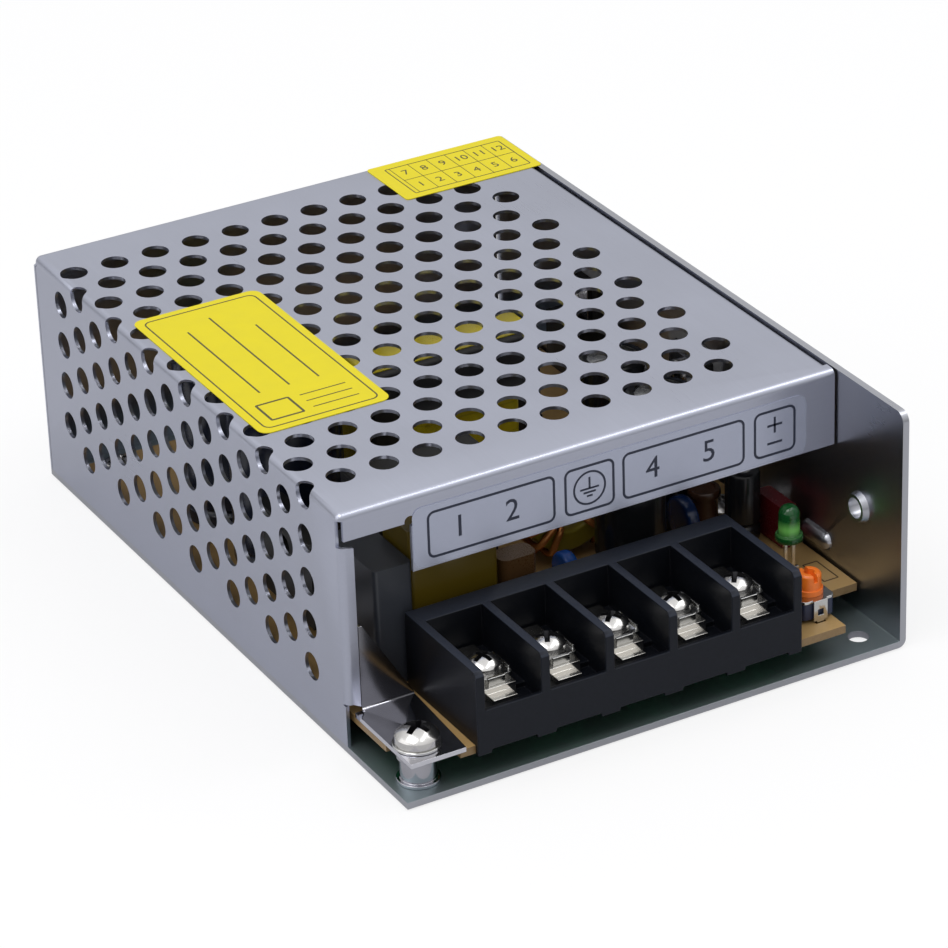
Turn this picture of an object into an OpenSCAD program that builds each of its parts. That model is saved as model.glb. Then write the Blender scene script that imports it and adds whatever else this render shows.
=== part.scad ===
// Mesh case switching power supply with a five-pole screw terminal block.
// Sizes are in millimetres. X runs along the terminal end, Y from front to back, Z up.
// Places are worked out from the case's front left bottom corner; the origin is the middle of its bottom.

/* [Case] */
// Length of the case, front to back
case_l = 110; // [108:1:130]
// Width of the case
case_w = 78; // [77:1:96]
// Height of the case
case_h = 36; // [35.5:0.5:45]
// Thickness of the base sheet
base_t = 1; // [0.8:0.1:1.2]
// Thickness of the cover sheet
cover_t = 0.5; // [0.4:0.1:0.8]
// Outer radius of the folds
fold_r = 1; // [0.9:0.1:1.4]
// Radius of the right wall's upper front corner
corner_r = 1.6; // [1:0.2:5]
// Distance from the base's front edge to the cover's front face
cover_front = 16; // [15:0.5:17]
// Height of the deep part of the front lip
lip_h = 11.4; // [10:0.2:12]
// Height of the shallow part of the front lip
lip_short_h = 4; // [3:0.2:5]
// Width of the shallow part of the front lip
lip_short_w = 10.7; // [8:0.1:12]
// Width of the left wall's front flange
flange_w = 2.1; // [1.9:0.1:2.4]
// Gap between the cover and the base's right wall
cover_gap = 0.3; // [0.2:0.1:0.6]

/* [Perforation] */
// Diameter of the ventilation holes
hole_d = 4; // [3:0.1:4.4]
// Distance between the holes of a row
hole_pitch_x = 6.5; // [6:0.1:7.5]
// Distance between the rows
hole_pitch_y = 5.8; // [5.4:0.1:7]
// Distance from the cover's front face to the first row
first_row = 9.8; // [8:0.1:12]
// Distance from the left side to the first whole hole of an even row
first_hole = 5.7; // [5.4:0.1:6]

/* [Fixings] */
// Radius of an M3 tapped hole's wall
tap_r = 1.5; // [1.4:0.05:1.6]
// Gap round a screw in its hole
screw_gap = 0.05; // [0.02:0.01:0.1]
// Radius of a countersunk head
csk_r = 2.8; // [2.6:0.1:3]
// Distance of the bottom mounting holes from the case's edges
bottom_hole_edge = 5; // [4.4:0.1:6]
// Distance of the front bottom hole from the front edge
bottom_hole_front = 4.2; // [4:0.1:5]
// Distance of the side mounting holes from the case's ends
side_hole_end = 10; // [8:0.5:12]
// Height of the side mounting holes
side_hole_z = 17.5; // [15:0.5:20]

/* [Board] */
// Thickness of the board
board_t = 1.2; // [1:0.1:1.6]
// Height of the board standoffs
standoff_h = 3.4; // [3.2:0.1:4.4]
// Gap between the board and the case sides
board_gap = 0.4; // [0.3:0.1:0.8]
// Distance from the front edge to the board
board_front = 1.1; // [1.1:0.1:1.6]

/* [Terminal block] */
// Number of poles
poles = 5; // [5:1:5]
// Distance between the poles
pole_pitch = 9.8; // [9.6:0.1:10]
// Distance from the left side to the block
block_x = 10.85; // [10.4:0.05:11.2]
// Height of the block above the board
block_h = 11.2; // [10.4:0.1:12]
// Depth of the block, front to back
block_d = 19.2; // [18.6:0.1:19.4]
// Thickness of the dividers
divider_t = 1.3; // [1:0.1:1.8]
// Distance from the block's front to the screws
pole_y = 8.2; // [7.8:0.1:8.6]
// Diameter of the terminal screw heads
head_d = 5; // [4.6:0.1:6]
// Travel of the clamp plates
clamp_travel = 2; // [1:0.1:2.4]

/* [Indicator and trimmer] */
// Diameter of the lamp
lamp_d = 3; // [2.8:0.1:3.4]
// Height of the lamp's foot above the board
lamp_lift = 5.6; // [4:0.1:6.4]
// Diameter of the trimmer's knob
knob_d = 3.4; // [3:0.1:4]
// Height of the trimmer's body
trimmer_h = 3; // [2.6:0.1:3.6]

/* [Power parts] */
// Width of the transformer core
core_w = 27; // [24:1:27]
// Depth of the transformer core
core_d = 15; // [13:1:16]
// Height of the transformer
core_h = 23; // [20:0.5:24]
// Diameter of the bulk capacitors
bulk_d = 16; // [14:0.5:16]
// Height of the bulk capacitors
bulk_h = 25; // [20:0.5:26]
// Diameter of the output capacitors
out_d = 10; // [8:0.5:10]
// Height of the output capacitors
out_h = 20; // [16:0.5:22]
// Thickness of the labels
label_t = 0.12; // [0.1:0.02:0.2]

/* [Hidden] */
$fn = 48;

eps = 0.01;
// Case
cover_right = case_w - base_t - cover_gap;
wall_in = case_w - base_t;
cover_back = case_l;
fold_in = fold_r - cover_t;
base_fold_r = base_t + 0.2;
rear_corner_r = 1;
return_z = case_h - 9;
return_y0 = cover_front + 2;
flange_z0 = 7.4;
flange_z1 = case_h - 5;
foot_z = base_t + 6.2;
tab_ys = [cover_front + 26, case_l - 24];
tab_w = 8;
tab_l = 8.2;
tab_hole_x = 4.6;
side_screw_ys = [cover_front + 15, case_l - 14];
side_screw_z = case_h - 4.8;
collar_r = 2.6;
collar_h = 1.6;
csk_gap = 0.1;
csk_sunk = 0.05;
cover_screw_l = 3.3;
relief_r = 0.8;
rib_r = 1.5;
rib_sunk = 0.3;
rib_y = cover_front + 2.4;
rib_l = 4.2;
neck_r = 2;
neck_h = 0.9;
side_hole_ys = [side_hole_end, case_l - side_hole_end];
// Perforation
hole_r = hole_d / 2;
row_y0 = cover_front + first_row;
rows = floor((case_l - row_y0 - 8) / hole_pitch_y) + 1;
odd_hole = first_hole - hole_pitch_x / 2;
right_limit = cover_right - 7.4;
wall_limit = 7.5;
arc_l = fold_r * PI / 2;
// Board
board_z = base_t + standoff_h;
top_z = board_z + board_t;
rib_z = top_z + 2.7;
board_x0 = cover_t + board_gap + 0.3;
board_x1 = wall_in - board_gap;
board_y1 = case_l - 10;
fix_in = 4.4;
earth_pos = [board_x0 + 3, board_front + 3.5];
fixes = [[board_x1 - fix_in, cover_front + 22], [board_x0 + 3.8, board_y1 - 4],
    [board_x1 - fix_in, board_y1 - 4]];
standoff_r = 2.5;
earth_collar_r = 2.9;
earth_notch = [block_x - 2.2, earth_pos[1] + earth_collar_r + 0.2];
lead_r = 0.35;
lead_gap = 0.15;
lead_out = 1;
// Terminal block
block_w = poles * pole_pitch + divider_t;
block_front = board_front - 0.9;
block_back = block_front + block_d;
block_top = top_z + block_h;
skirt_top = top_z + 5.3;
skirt_t = 0.8;
rear_t = 3.5;
floor_z = top_z + 4.8;
front_floor_z = floor_z - 0.8;
contact_t = 0.9;
contact_top = floor_z + contact_t;
clamp_t = 0.8;
clamp_top = contact_top + clamp_t;
ear_t = 0.35;
clamp_w = head_d + 0.2 + 2 * ear_t;
pole_x0 = block_x + divider_t / 2 + pole_pitch / 2;
pole_ys = block_front + pole_y;
shank_r = tap_r - screw_gap;
shank_l = contact_t + clamp_t + clamp_travel + 1.7;
tail_y = 14.4;
// Indicator and trimmer
side_room = wall_in - block_x - block_w;
trimmer_pos = [block_x + block_w + side_room * 0.3375, 6.7];
trimmer_w = 5;
trimmer_pin = 1.27;
frame_t = 0.4;
frame_z = top_z + trimmer_h;
knob_z = frame_z + frame_t;
knob_h = 3.1;
lamp_pos = [block_x + block_w + side_room * 0.5584, 17];
notch_x = trimmer_pos[0] + 2.3;
notch_y = 10;
lamp_z = top_z + lamp_lift;
lamp_pitch = 1.27;
// Power parts
coil_w = core_w - 9.5;
bulk_ys = [cover_front + 44, cover_front + 61];
bulk_x = 14.5;
output_x = board_x1 - 12.5;
transformer_pos = [(bulk_x + bulk_d / 2 + output_x - out_d / 2) / 2, cover_front + 47];
core_leg = 4.6;
core_lift = 2;
core_in = 4;
device_ys = [cover_front + 36, cover_front + 66];
device_w = 10;
device_h = 15.4;
device_lift = 2.8;
device_tab_t = 1.3;
device_body_t = 3.2;
pad_t = 0.3;
pad_x = wall_in - pad_t;
clip_z = top_z + device_lift + 11.9;

module from_corner() {
    translate([-case_w / 2, -case_l / 2, 0]) children();
}

// Extrudes an outline drawn in x and z along Y
module along_y(y0, len) {
    translate([0, y0 + len, 0]) rotate([90, 0, 0]) linear_extrude(len) children();
}

// Extrudes an outline drawn in y and z along X
module along_x(x0, len) {
    translate([x0, 0, 0]) rotate([90, 0, 90]) linear_extrude(len) children();
}

module quarter_ring(outer, inner) {
    intersection() {
        difference() {
            circle(outer);
            circle(inner);
        }
        square(outer + 1);
    }
}

module rounded_square(size, r) {
    translate([r, 0]) square([size[0] - 2 * r, size[1]]);
    translate([0, r]) square([size[0], size[1] - 2 * r]);
    for (x = [r, size[0] - r], y = [r, size[1] - r]) translate([x, y]) circle(r);
}

module rounded_box(size, r) {
    linear_extrude(size[2]) rounded_square([size[0], size[1]], r);
}

// A countersunk hole through both sheets, head side at z = 0
module csk_cutter() {
    translate([0, 0, -eps]) cylinder(h = 1.4 + eps, r1 = csk_r + csk_gap + eps, r2 = csk_r + csk_gap - 1.4);
    cylinder(h = 6, r = tap_r);
}

module cross_recess(d, depth) {
    for (a = [0, 90]) rotate(a) translate([-d * 0.3, -d * 0.065, 0]) cube([d * 0.6, d * 0.13, depth]);
    translate([0, 0, depth * 0.4]) cylinder(h = depth, r = d * 0.13);
}

module csk_screw() {
    head_h = csk_r - shank_r;
    difference() {
        translate([0, 0, csk_sunk]) union() {
            cylinder(h = head_h, r1 = csk_r, r2 = shank_r);
            cylinder(h = cover_screw_l, r = shank_r);
        }
        translate([0, 0, -1 + csk_sunk]) cross_recess(csk_r * 1.5, 1.9);
    }
}

// A pan head screw, seat of the head at z = 0, shank downwards
module pan_screw(d, h, len) {
    rise = h * 0.55;
    dome_r = (pow(d / 2, 2) + pow(rise, 2)) / (2 * rise);
    difference() {
        union() {
            cylinder(h = h - rise, r = d / 2);
            translate([0, 0, h - dome_r]) intersection() {
                sphere(dome_r);
                translate([-d, -d, dome_r - rise]) cube([2 * d, 2 * d, rise + 1]);
            }
            translate([0, 0, -len]) cylinder(h = len + eps, r = shank_r);
        }
        translate([0, 0, h - 1.5]) cross_recess(d, 1.6);
    }
}

/* ---- Case ---- */

module mount_holes() {
    for (p = [[case_w - bottom_hole_edge, bottom_hole_front],
              [case_w - bottom_hole_edge, case_l - bottom_hole_edge],
              [bottom_hole_edge, case_l - bottom_hole_edge]])
        translate([p[0], p[1], -1]) cylinder(h = base_t + 2, r = tap_r);
    for (y = side_hole_ys)
        translate([wall_in - 2, y, side_hole_z]) rotate([0, 90, 0]) cylinder(h = base_t + 4, r = tap_r);
}

// A rounded rib pressed inwards over the board's edge, from a wall face at x
module pressed_rib(x) {
    translate([x + rib_sunk, rib_y, rib_z]) {
        for (y = [0, rib_l]) translate([0, y, 0]) sphere(rib_r);
        rotate([-90, 0, 0]) cylinder(h = rib_l, r = rib_r);
    }
}

// Rounds an upper corner of the right wall
module wall_corner(y, dir, r) {
    along_x(wall_in - 1, base_t + 2) translate([y, case_h]) difference() {
        square(2 * r, center = true);
        translate([dir * r, -r]) circle(r);
    }
}

module base_tray() {
    color("silver") from_corner() difference() {
        union() {
            along_y(0, case_l) {
                square([case_w - base_fold_r, base_t]);
                translate([case_w - base_t, base_fold_r]) square([base_t, case_h - base_fold_r]);
                translate([case_w - base_fold_r, base_fold_r]) mirror([0, 1])
                    quarter_ring(base_fold_r, base_fold_r - base_t);
            }
            intersection() {
                pressed_rib(wall_in);
                translate([wall_in - 2 * rib_r, 0, 0]) cube([2 * rib_r + base_t / 2, case_l, case_h]);
            }
            for (y = side_hole_ys) translate([wall_in + eps, y, side_hole_z]) rotate([0, -90, 0])
                cylinder(h = neck_h + eps, r1 = neck_r + 0.3, r2 = neck_r);
        }
        wall_corner(0, 1, corner_r);
        wall_corner(case_l, -1, rear_corner_r);
        pressed_rib(case_w);
        mount_holes();
        for (y = tab_ys) translate([tab_hole_x, y, 0]) csk_cutter();
        for (y = side_screw_ys) translate([case_w, y, side_screw_z]) rotate([0, -90, 0]) csk_cutter();
        for (y = device_ys) translate([wall_in - 1, y, clip_z]) rotate([0, 90, 0])
            cylinder(h = base_t + 2, r = tap_r);
    }
}

module top_plate() {
    translate([0, 0, case_h - cover_t]) linear_extrude(cover_t) difference() {
        union() {
            translate([fold_r, cover_front + fold_r])
                square([cover_right - 2 * fold_r, case_l - cover_front - 2 * fold_r]);
            translate([fold_r, cover_front + fold_r])
                square([cover_right - fold_r, return_y0 - cover_front - fold_r]);
            translate([cover_right - fold_r - eps, case_l - 1.5 - fold_r]) square([fold_r + eps, 1.5]);
        }
        for (j = [0:rows - 1]) {
            x0 = j % 2 == 0 ? first_hole : odd_hole + hole_pitch_x;
            for (x = [x0:hole_pitch_x:right_limit]) translate([x, row_y0 + j * hole_pitch_y]) circle(hole_r);
        }
    }
}

module left_wall() {
    wall_top = case_h - fold_r;
    even_z = wall_top - (fold_r - (first_hole - hole_pitch_x) - arc_l);
    odd_z = wall_top - (fold_r - (odd_hole - hole_pitch_x) - arc_l);
    y0 = cover_front + fold_r;
    y1 = case_l - cover_t - 0.1;
    along_x(0, cover_t) difference() {
        union() {
            translate([y0, base_t]) square([case_l - fold_r - y0, wall_top - base_t]);
            translate([y0, base_t]) square([y1 - y0, wall_top - 0.6 - base_t]);
            translate([cover_front + 0.4, base_t]) square([fold_r, foot_z - base_t]);
        }
        for (j = [0:rows - 1]) {
            z0 = j % 2 == 0 ? even_z - hole_pitch_x : odd_z;
            for (z = [z0:-hole_pitch_x:wall_limit]) translate([row_y0 + j * hole_pitch_y, z]) circle(hole_r);
        }
    }
}

module cover_folds() {
    z = case_h - fold_r;
    y0 = cover_front + fold_r;
    y1 = case_l - fold_r;
    along_y(y0, y1 - y0) translate([fold_r, z]) mirror([1, 0]) quarter_ring(fold_r, fold_in);
    along_y(return_y0, y1 - 1.5 - return_y0) translate([cover_right - fold_r, z])
        quarter_ring(fold_r, fold_in);
    along_x(fold_r, cover_right - fold_r) {
        translate([y0, z]) mirror([1, 0]) quarter_ring(fold_r, fold_in);
        translate([y1, z]) quarter_ring(fold_r, fold_in);
    }
    for (y = [y0, y1]) translate([fold_r, y, z]) intersection() {
        difference() {
            sphere(fold_r);
            sphere(fold_in);
        }
        translate([-2 * fold_r, y == y0 ? -2 * fold_r : 0, 0]) cube(2 * fold_r);
    }
}

// Front flange of the left wall, with a slanted lower end
module front_flange() {
    y0 = cover_front + fold_r;
    translate([fold_r, y0, flange_z0]) linear_extrude(flange_z1 - flange_z0)
        mirror([1, 0]) mirror([0, 1]) quarter_ring(fold_r, fold_in);
    along_y(cover_front, cover_t)
        polygon([[fold_r, flange_z0], [flange_w, flange_z0 - 0.6], [flange_w, flange_z1 - 0.3], [fold_r, flange_z1]]);
}

module cover() {
    z = case_h - fold_r;
    color("gainsboro") from_corner() difference() {
        union() {
            top_plate();
            left_wall();
            cover_folds();
            front_flange();
            along_y(cover_front, cover_t) polygon([
                [fold_r - 0.3, z], [fold_r - 0.3, case_h - lip_short_h], [lip_short_w, case_h - lip_short_h],
                [lip_short_w, case_h - lip_h], [cover_right, case_h - lip_h], [cover_right, z]]);
            along_y(case_l - cover_t, cover_t) polygon([
                [fold_r, z], [0, z - 0.6], [0, base_t], [cover_right, base_t], [cover_right, z]]);
            along_x(cover_right - cover_t, cover_t)
                translate([return_y0, return_z]) square([case_l - fold_r - 1.5 - return_y0, z - return_z]);
            for (y = side_screw_ys) translate([cover_right - cover_t - collar_h, y, side_screw_z])
                rotate([0, 90, 0]) cylinder(h = collar_h + cover_t / 2, r = collar_r);
            for (y = tab_ys) {
                translate([cover_t / 2, y - tab_w / 2, base_t]) cube([tab_l, tab_w, cover_t]);
                translate([tab_hole_x, y, base_t]) cylinder(h = cover_t + collar_h - 0.6, r = collar_r);
            }
        }
        for (j = [0:rows - 1]) {
            y = row_y0 + j * hole_pitch_y;
            if (j % 2 == 0) translate([0, y, z + arc_l - fold_r + first_hole - hole_pitch_x]) sphere(hole_r);
            else translate([odd_hole, y, z - 0.05]) cylinder(h = 3, r = hole_r);
        }
        translate([lip_short_w - 0.2, cover_front - 1, case_h - lip_short_h + 0.2]) rotate([-90, 0, 0])
            cylinder(h = cover_t + 2, r = relief_r);
        for (y = tab_ys) translate([tab_hole_x, y, 0]) csk_cutter();
        for (y = side_screw_ys) translate([case_w, y, side_screw_z]) rotate([0, -90, 0]) csk_cutter();
    }
}

module cover_screws() {
    color("lightgray") from_corner() {
        for (y = tab_ys) translate([tab_hole_x, y, 0]) csk_screw();
        for (y = side_screw_ys) translate([case_w, y, side_screw_z]) rotate([0, -90, 0]) csk_screw();
    }
}

/* ---- Board and its fixings ---- */

// Where each part's leads pass through the board
function grid2(c, dx, dy) = [for (x = [-dx, dx], y = [-dy, dy]) [c[0] + x, c[1] + y]];
led_pins = [for (s = [-1, 1]) [lamp_pos[0] + s * lamp_pitch, lamp_pos[1]]];
yellow_cap = [13.2, cover_front + 5.6, 13.4, 8];
yellow_pins = [for (s = [2, yellow_cap[2] - 2]) [yellow_cap[0] + s, yellow_cap[1] + yellow_cap[3] / 2]];
grey_cap = [7, cover_front + 4.2, 5.8, 13];
grey_pins = [for (s = [2, grey_cap[3] - 2]) [grey_cap[0] + grey_cap[2] / 2, grey_cap[1] + s]];
choke_w = 20;
choke_pos = [25, cover_front + 24.5];
choke_pins = grid2(choke_pos, 6.5, 5);
tan_cap = [27.8, cover_front + 6.7, 5.6, 3.6];
tan_pins = [for (s = [1.4, tan_cap[2] - 1.4]) [tan_cap[0] + s, tan_cap[1] + tan_cap[3] / 2]];
fuse_pos = [34.4, block_back + 3];
fuse_l = 10;
fuse_r = 1.8;
fuse_cap_l = 2.4;
fuse_pins = [for (s = [1.2, fuse_l - 1.2]) [fuse_pos[0] + s, fuse_pos[1]]];
inrush_pos = [33, board_y1 - 7];
inrush_pins = [for (s = [-2.5, 2.5]) [inrush_pos[0] + s, inrush_pos[1]]];
bridge_pos = [7.2, cover_front + 27];
bridge_l = 16;
bridge_pins = [for (s = [0:3]) [bridge_pos[0], bridge_pos[1] - 6 + 4 * s]];
bulk_pins = [for (y = bulk_ys, s = [-3.75, 3.75]) [bulk_x + s, y]];
transformer_pins = grid2(transformer_pos, coil_w / 2 - 2, core_d / 2 + 2.6);
device_pins = [for (y = device_ys, s = [-2.54, 0, 2.54]) [pad_x - device_tab_t - 1.2, y + s]];
output_spots = [[output_x - 11.8, cover_front + 14], [output_x, cover_front + 25],
    [output_x, cover_front + 38]];
output_pins = [for (p = output_spots, s = [-2.5, 2.5]) [p[0] + s, p[1]]];
inductor_pos = [(choke_pos[0] + choke_w / 2 + output_x - out_d / 2) / 2, cover_front + 24];
inductor_pins = [for (s = [-5, 5]) [inductor_pos[0] + s, inductor_pos[1]]];
disc_spots = [[board_x1 - 35.1, cover_front + 13.3], [board_x1 - 14.1, cover_front + 16.6]];
disc_sizes = [5.5, 6.5];
disc_pins = [for (p = disc_spots, s = [-1.8, 1.8]) [p[0], p[1] + s]];
opto_pos = [board_x1 - 16.6, board_y1 - 24];
opto_pins = grid2(opto_pos, 3.8, 1.27);
resistor_spots = [[31, board_y1], [44, board_y1 - 5], [44, board_y1 - 1], [board_x1 - 18.6, board_y1 - 14]];
resistor_l = 6.4;
resistor_pins = [for (p = resistor_spots, s = [-5, 5]) [p[0] + s, p[1]]];
small_pos = [board_x1 - 6.3, cover_front + 13.4];
small_pins = [for (s = [-1, 1]) [small_pos[0] + s, small_pos[1]]];
film_pos = [board_x1 - 2.35, cover_front + 10.8];
film_pins = [for (s = [-2.5, 2.5]) [film_pos[0], film_pos[1] + s]];
drum_pos = [board_x1 - 10, cover_front + 17.6];
drum_pins = [for (s = [-1.5, 1.5]) [drum_pos[0] + s, drum_pos[1]]];
lead_holes = concat(led_pins, yellow_pins, grey_pins, choke_pins, fuse_pins, inrush_pins, bridge_pins,
    bulk_pins, transformer_pins, device_pins, output_pins, inductor_pins, disc_pins, opto_pins,
    resistor_pins, small_pins, film_pins, tan_pins, drum_pins);

module leads(points, up = 0) {
    for (p = points) translate([p[0], p[1], board_z - lead_out])
        cylinder(h = board_t + lead_out + up + eps, r = lead_r, $fn = 16);
}

module circuit_board() {
    color("tan") from_corner() translate([0, 0, board_z]) linear_extrude(board_t) difference() {
        polygon([[board_x0, earth_notch[1]], earth_notch, [earth_notch[0], board_front], [notch_x, board_front],
            [notch_x, notch_y], [board_x1, notch_y], [board_x1, board_y1], [board_x0, board_y1]]);
        for (p = fixes) translate(p) circle(tap_r + 0.2);
        for (p = lead_holes) translate(p) circle(lead_r + lead_gap, $fn = 16);
        for (n = [1:poles]) translate([pole_x0 + (n - 1) * pole_pitch, block_front + tail_y + contact_t / 2])
            circle(1);
        for (s = [-1, 1]) translate([trimmer_pos[0] + s * trimmer_pin, trimmer_pos[1] + 2]) circle(0.5, $fn = 16);
        translate([trimmer_pos[0] - 0.8, trimmer_pos[1] - trimmer_w / 2 - 0.65]) square([1.6, 0.9]);
    }
}

module standoff(p, h) {
    translate([p[0], p[1], base_t]) difference() {
        union() {
            cylinder(h = h, r = standoff_r);
            cylinder(h = 0.5, r = standoff_r + 0.5);
            children();
        }
        translate([0, 0, -eps]) cylinder(h = h + 1, r = tap_r);
    }
}

// The tall one stands beside the board, under the earth plate
module board_standoffs() {
    color("silver") from_corner() {
        for (p = fixes) standoff(p, standoff_h);
        standoff(earth_pos, standoff_h + board_t)
            translate([0, 0, standoff_h + board_t - 1]) cylinder(h = 1, r = earth_collar_r);
    }
}

module board_screws() {
    color("lightgray") from_corner() for (p = fixes) translate([p[0], p[1], top_z]) pan_screw(5.5, 2, 4);
}

/* ---- Earth connection ---- */
earth_t = 0.7;
earth_x1 = block_x - 0.75;
earth_y0 = board_front - 0.7;
earth_y1 = cover_front - 0.2;
earth_fold = 1;
earth_h = 13.2;

module earth_plate() {
    color("silver") from_corner() difference() {
        union() {
            translate([0, 0, top_z]) linear_extrude(earth_t) polygon([[board_x0 - 0.2, earth_y0],
                [earth_x1 - 0.9, earth_y0], [earth_x1, earth_y1], [board_x0 - 0.2, earth_y1]]);
            intersection() {
                along_x(flange_w + 0.15, earth_x1 - flange_w - 0.15) {
                    translate([earth_y1, top_z + earth_fold])
                        mirror([0, 1]) quarter_ring(earth_fold, earth_fold - earth_t);
                    translate([earth_y1 + earth_fold - earth_t, top_z + earth_fold])
                        square([earth_t, earth_h]);
                }
                along_y(0, case_l) polygon([[0, 0], [earth_x1, 0], [earth_x1, top_z + earth_fold],
                    [flange_w + 0.7, top_z + earth_h], [0, top_z + earth_h]]);
            }
        }
        translate([earth_pos[0], earth_pos[1], 0]) cylinder(h = top_z + 2, r = tap_r + 0.2);
    }
}

module earth_washer() {
    color("lightgray") from_corner() translate([earth_pos[0], earth_pos[1], top_z + earth_t]) difference() {
        cylinder(h = 0.5, r = 3.3);
        translate([0, 0, -1]) cylinder(h = 3, r = tap_r + 0.1);
    }
}

module earth_screw() {
    color("silver") from_corner() translate([earth_pos[0], earth_pos[1], top_z + earth_t + 0.5])
        pan_screw(6, 2.5, 5);
}

/* ---- Terminal block ---- */

module at_pole(n) {
    translate([pole_x0 + (n - 1) * pole_pitch, pole_ys, 0]) children();
}

module terminal_housing() {
    well_w = pole_pitch - divider_t;
    well_back = block_back - rear_t;
    color("dimgray") from_corner() difference() {
        along_x(block_x, block_w) polygon([
            [block_front, board_z - 0.1], [block_front + skirt_t, board_z - 0.1],
            [block_front + skirt_t, top_z], [block_back, top_z], [block_back, block_top],
            [block_front + 0.7, block_top], [block_front, block_top - 0.7]]);
        for (n = [1:poles]) at_pole(n) {
            translate([-well_w / 2, skirt_t - pole_y, front_floor_z])
                cube([well_w, well_back - block_front - skirt_t, block_h]);
            translate([-well_w / 2, -pole_y - 1, skirt_top]) cube([well_w, 5, block_h]);
            translate([0, 0, top_z + 1]) cylinder(h = block_h, r = shank_r + 0.6);
            translate([-1.7, tail_y - pole_y - 0.1, top_z - 1]) cube([3.4, contact_t + 0.2, block_h]);
            translate([-well_w / 2 + 0.8, -pole_y - 1, board_z - 1]) cube([well_w - 1.6, skirt_t + 1.2, 1.4]);
        }
    }
    // Ledges that carry the contact plates
    color("dimgray") from_corner() for (n = [1:poles]) at_pole(n) difference() {
        translate([-well_w / 2 - eps, 4.6 - pole_y, front_floor_z - eps])
            cube([well_w + 2 * eps, well_back - block_front - 4.6 + eps, floor_z - front_floor_z + eps]);
        translate([0, 0, top_z + 1]) cylinder(h = block_h, r = shank_r + 0.6);
        translate([-1.7, tail_y - pole_y - 0.1, top_z - 1]) cube([3.4, contact_t + 0.2, block_h]);
    }
}

module contact_plate(n) {
    nose_y = 2.2 - pole_y;
    step_y = 4 - pole_y;
    color("silver") from_corner() at_pole(n) difference() {
        union() {
            translate([-2.6, step_y, floor_z]) cube([5.2, tail_y - 4 + contact_t, contact_t]);
            translate([-2.6, step_y, front_floor_z]) cube([5.2, 0.6, contact_t]);
            translate([-1.8, nose_y, front_floor_z]) cube([3.6, 2, contact_t]);
            translate([-1.5, tail_y - pole_y, top_z + 0.4]) cube([3, contact_t, floor_z - top_z]);
            translate([-0.6, tail_y - pole_y, board_z - lead_out]) cube([1.2, contact_t, top_z - board_z + 2]);
        }
        translate([0, 0, floor_z - 1]) cylinder(h = contact_t + 2, r = tap_r);
    }
}

module clamp_plate(n) {
    color("lightgray") from_corner() at_pole(n) translate([0, 0, contact_top]) difference() {
        union() {
            translate([-clamp_w / 2, -clamp_w / 2, 0]) rounded_box([clamp_w, clamp_w, clamp_t], 0.5);
            for (x = [-clamp_w / 2, clamp_w / 2 - ear_t]) translate([x, -2.2, 0])
                cube([ear_t, 4.4, clamp_t + 0.5]);
            translate([-1.3, -0.8 - clamp_w / 2, 0]) cube([2.6, 1, clamp_t]);
            translate([-1.3, -0.8 - clamp_w / 2, 0]) cube([2.6, 0.5, clamp_t + 0.4]);
        }
        translate([0, 0, -1]) cylinder(h = 3, r = shank_r + 0.08);
    }
}

module terminal_screw(n) {
    color("silver") from_corner() at_pole(n) translate([0, 0, clamp_top]) pan_screw(head_d, 2, shank_l);
}

/* ---- Indicator and trimmer ---- */

module led_lamp() {
    r = lamp_d / 2;
    color("green") from_corner() translate([lamp_pos[0], lamp_pos[1], lamp_z]) {
        difference() {
            cylinder(h = 1, r = r + 0.45);
            translate([-3, r, -1]) cube([6, 2, 3]);
        }
        cylinder(h = 4, r = r);
        translate([0, 0, 4]) intersection() {
            sphere(r);
            translate([-3, -3, 0]) cube(6);
        }
    }
}

module led_leads() {
    color("silver") from_corner() for (p = led_pins) translate([p[0] * 0.5 + lamp_pos[0] * 0.5, p[1], 0]) {
        s = sign(p[0] - lamp_pos[0]) * lamp_pitch / 2;
        translate([-0.25, -0.25, top_z + 1]) cube([0.5, 0.5, lamp_z - top_z - 1]);
        translate([min(-0.25, s - 0.25), -0.25, top_z + 0.6]) cube([0.5 + abs(s), 0.5, 0.5]);
        translate([s - 0.25, -0.25, board_z - lead_out]) cube([0.5, 0.5, top_z - board_z + lead_out + 0.7]);
    }
}

module trimmer_body() {
    color("dimgray") from_corner() translate([trimmer_pos[0], trimmer_pos[1], top_z]) difference() {
        union() {
            translate([-trimmer_w / 2, -trimmer_w / 2, 0.5])
                rounded_box([trimmer_w, trimmer_w, trimmer_h - 0.5], 0.6);
            for (s = [-1, 1]) translate([s * trimmer_pin, 2, -board_t - lead_out])
                cylinder(h = board_t + lead_out + 1, r = lead_r, $fn = 16);
        }
        translate([0, 0, trimmer_h - 1.2]) cylinder(h = 3, r = 1.1);
    }
}

module trimmer_frame() {
    w = trimmer_w + 0.2;
    color("gainsboro") from_corner() translate([trimmer_pos[0], trimmer_pos[1], 0]) difference() {
        union() {
            translate([-w / 2, -w / 2, frame_z]) rounded_box([w, w, frame_t], 0.8);
            translate([-1.1, -w / 2 - frame_t, top_z + 0.3]) cube([2.2, frame_t, trimmer_h - 0.3 + frame_t]);
            translate([-1.1, -w / 2 - eps, frame_z]) cube([2.2, 1, frame_t]);
            translate([-0.6, -w / 2 - frame_t, board_z - lead_out])
                cube([1.2, frame_t, top_z - board_z + lead_out + 1]);
        }
        translate([0, 0, frame_z - 1]) cylinder(h = 3, r = 1.1);
        translate([-0.45, -w / 2 - 1, top_z + 1.1]) cube([0.9, 2, 0.9]);
    }
}

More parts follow.
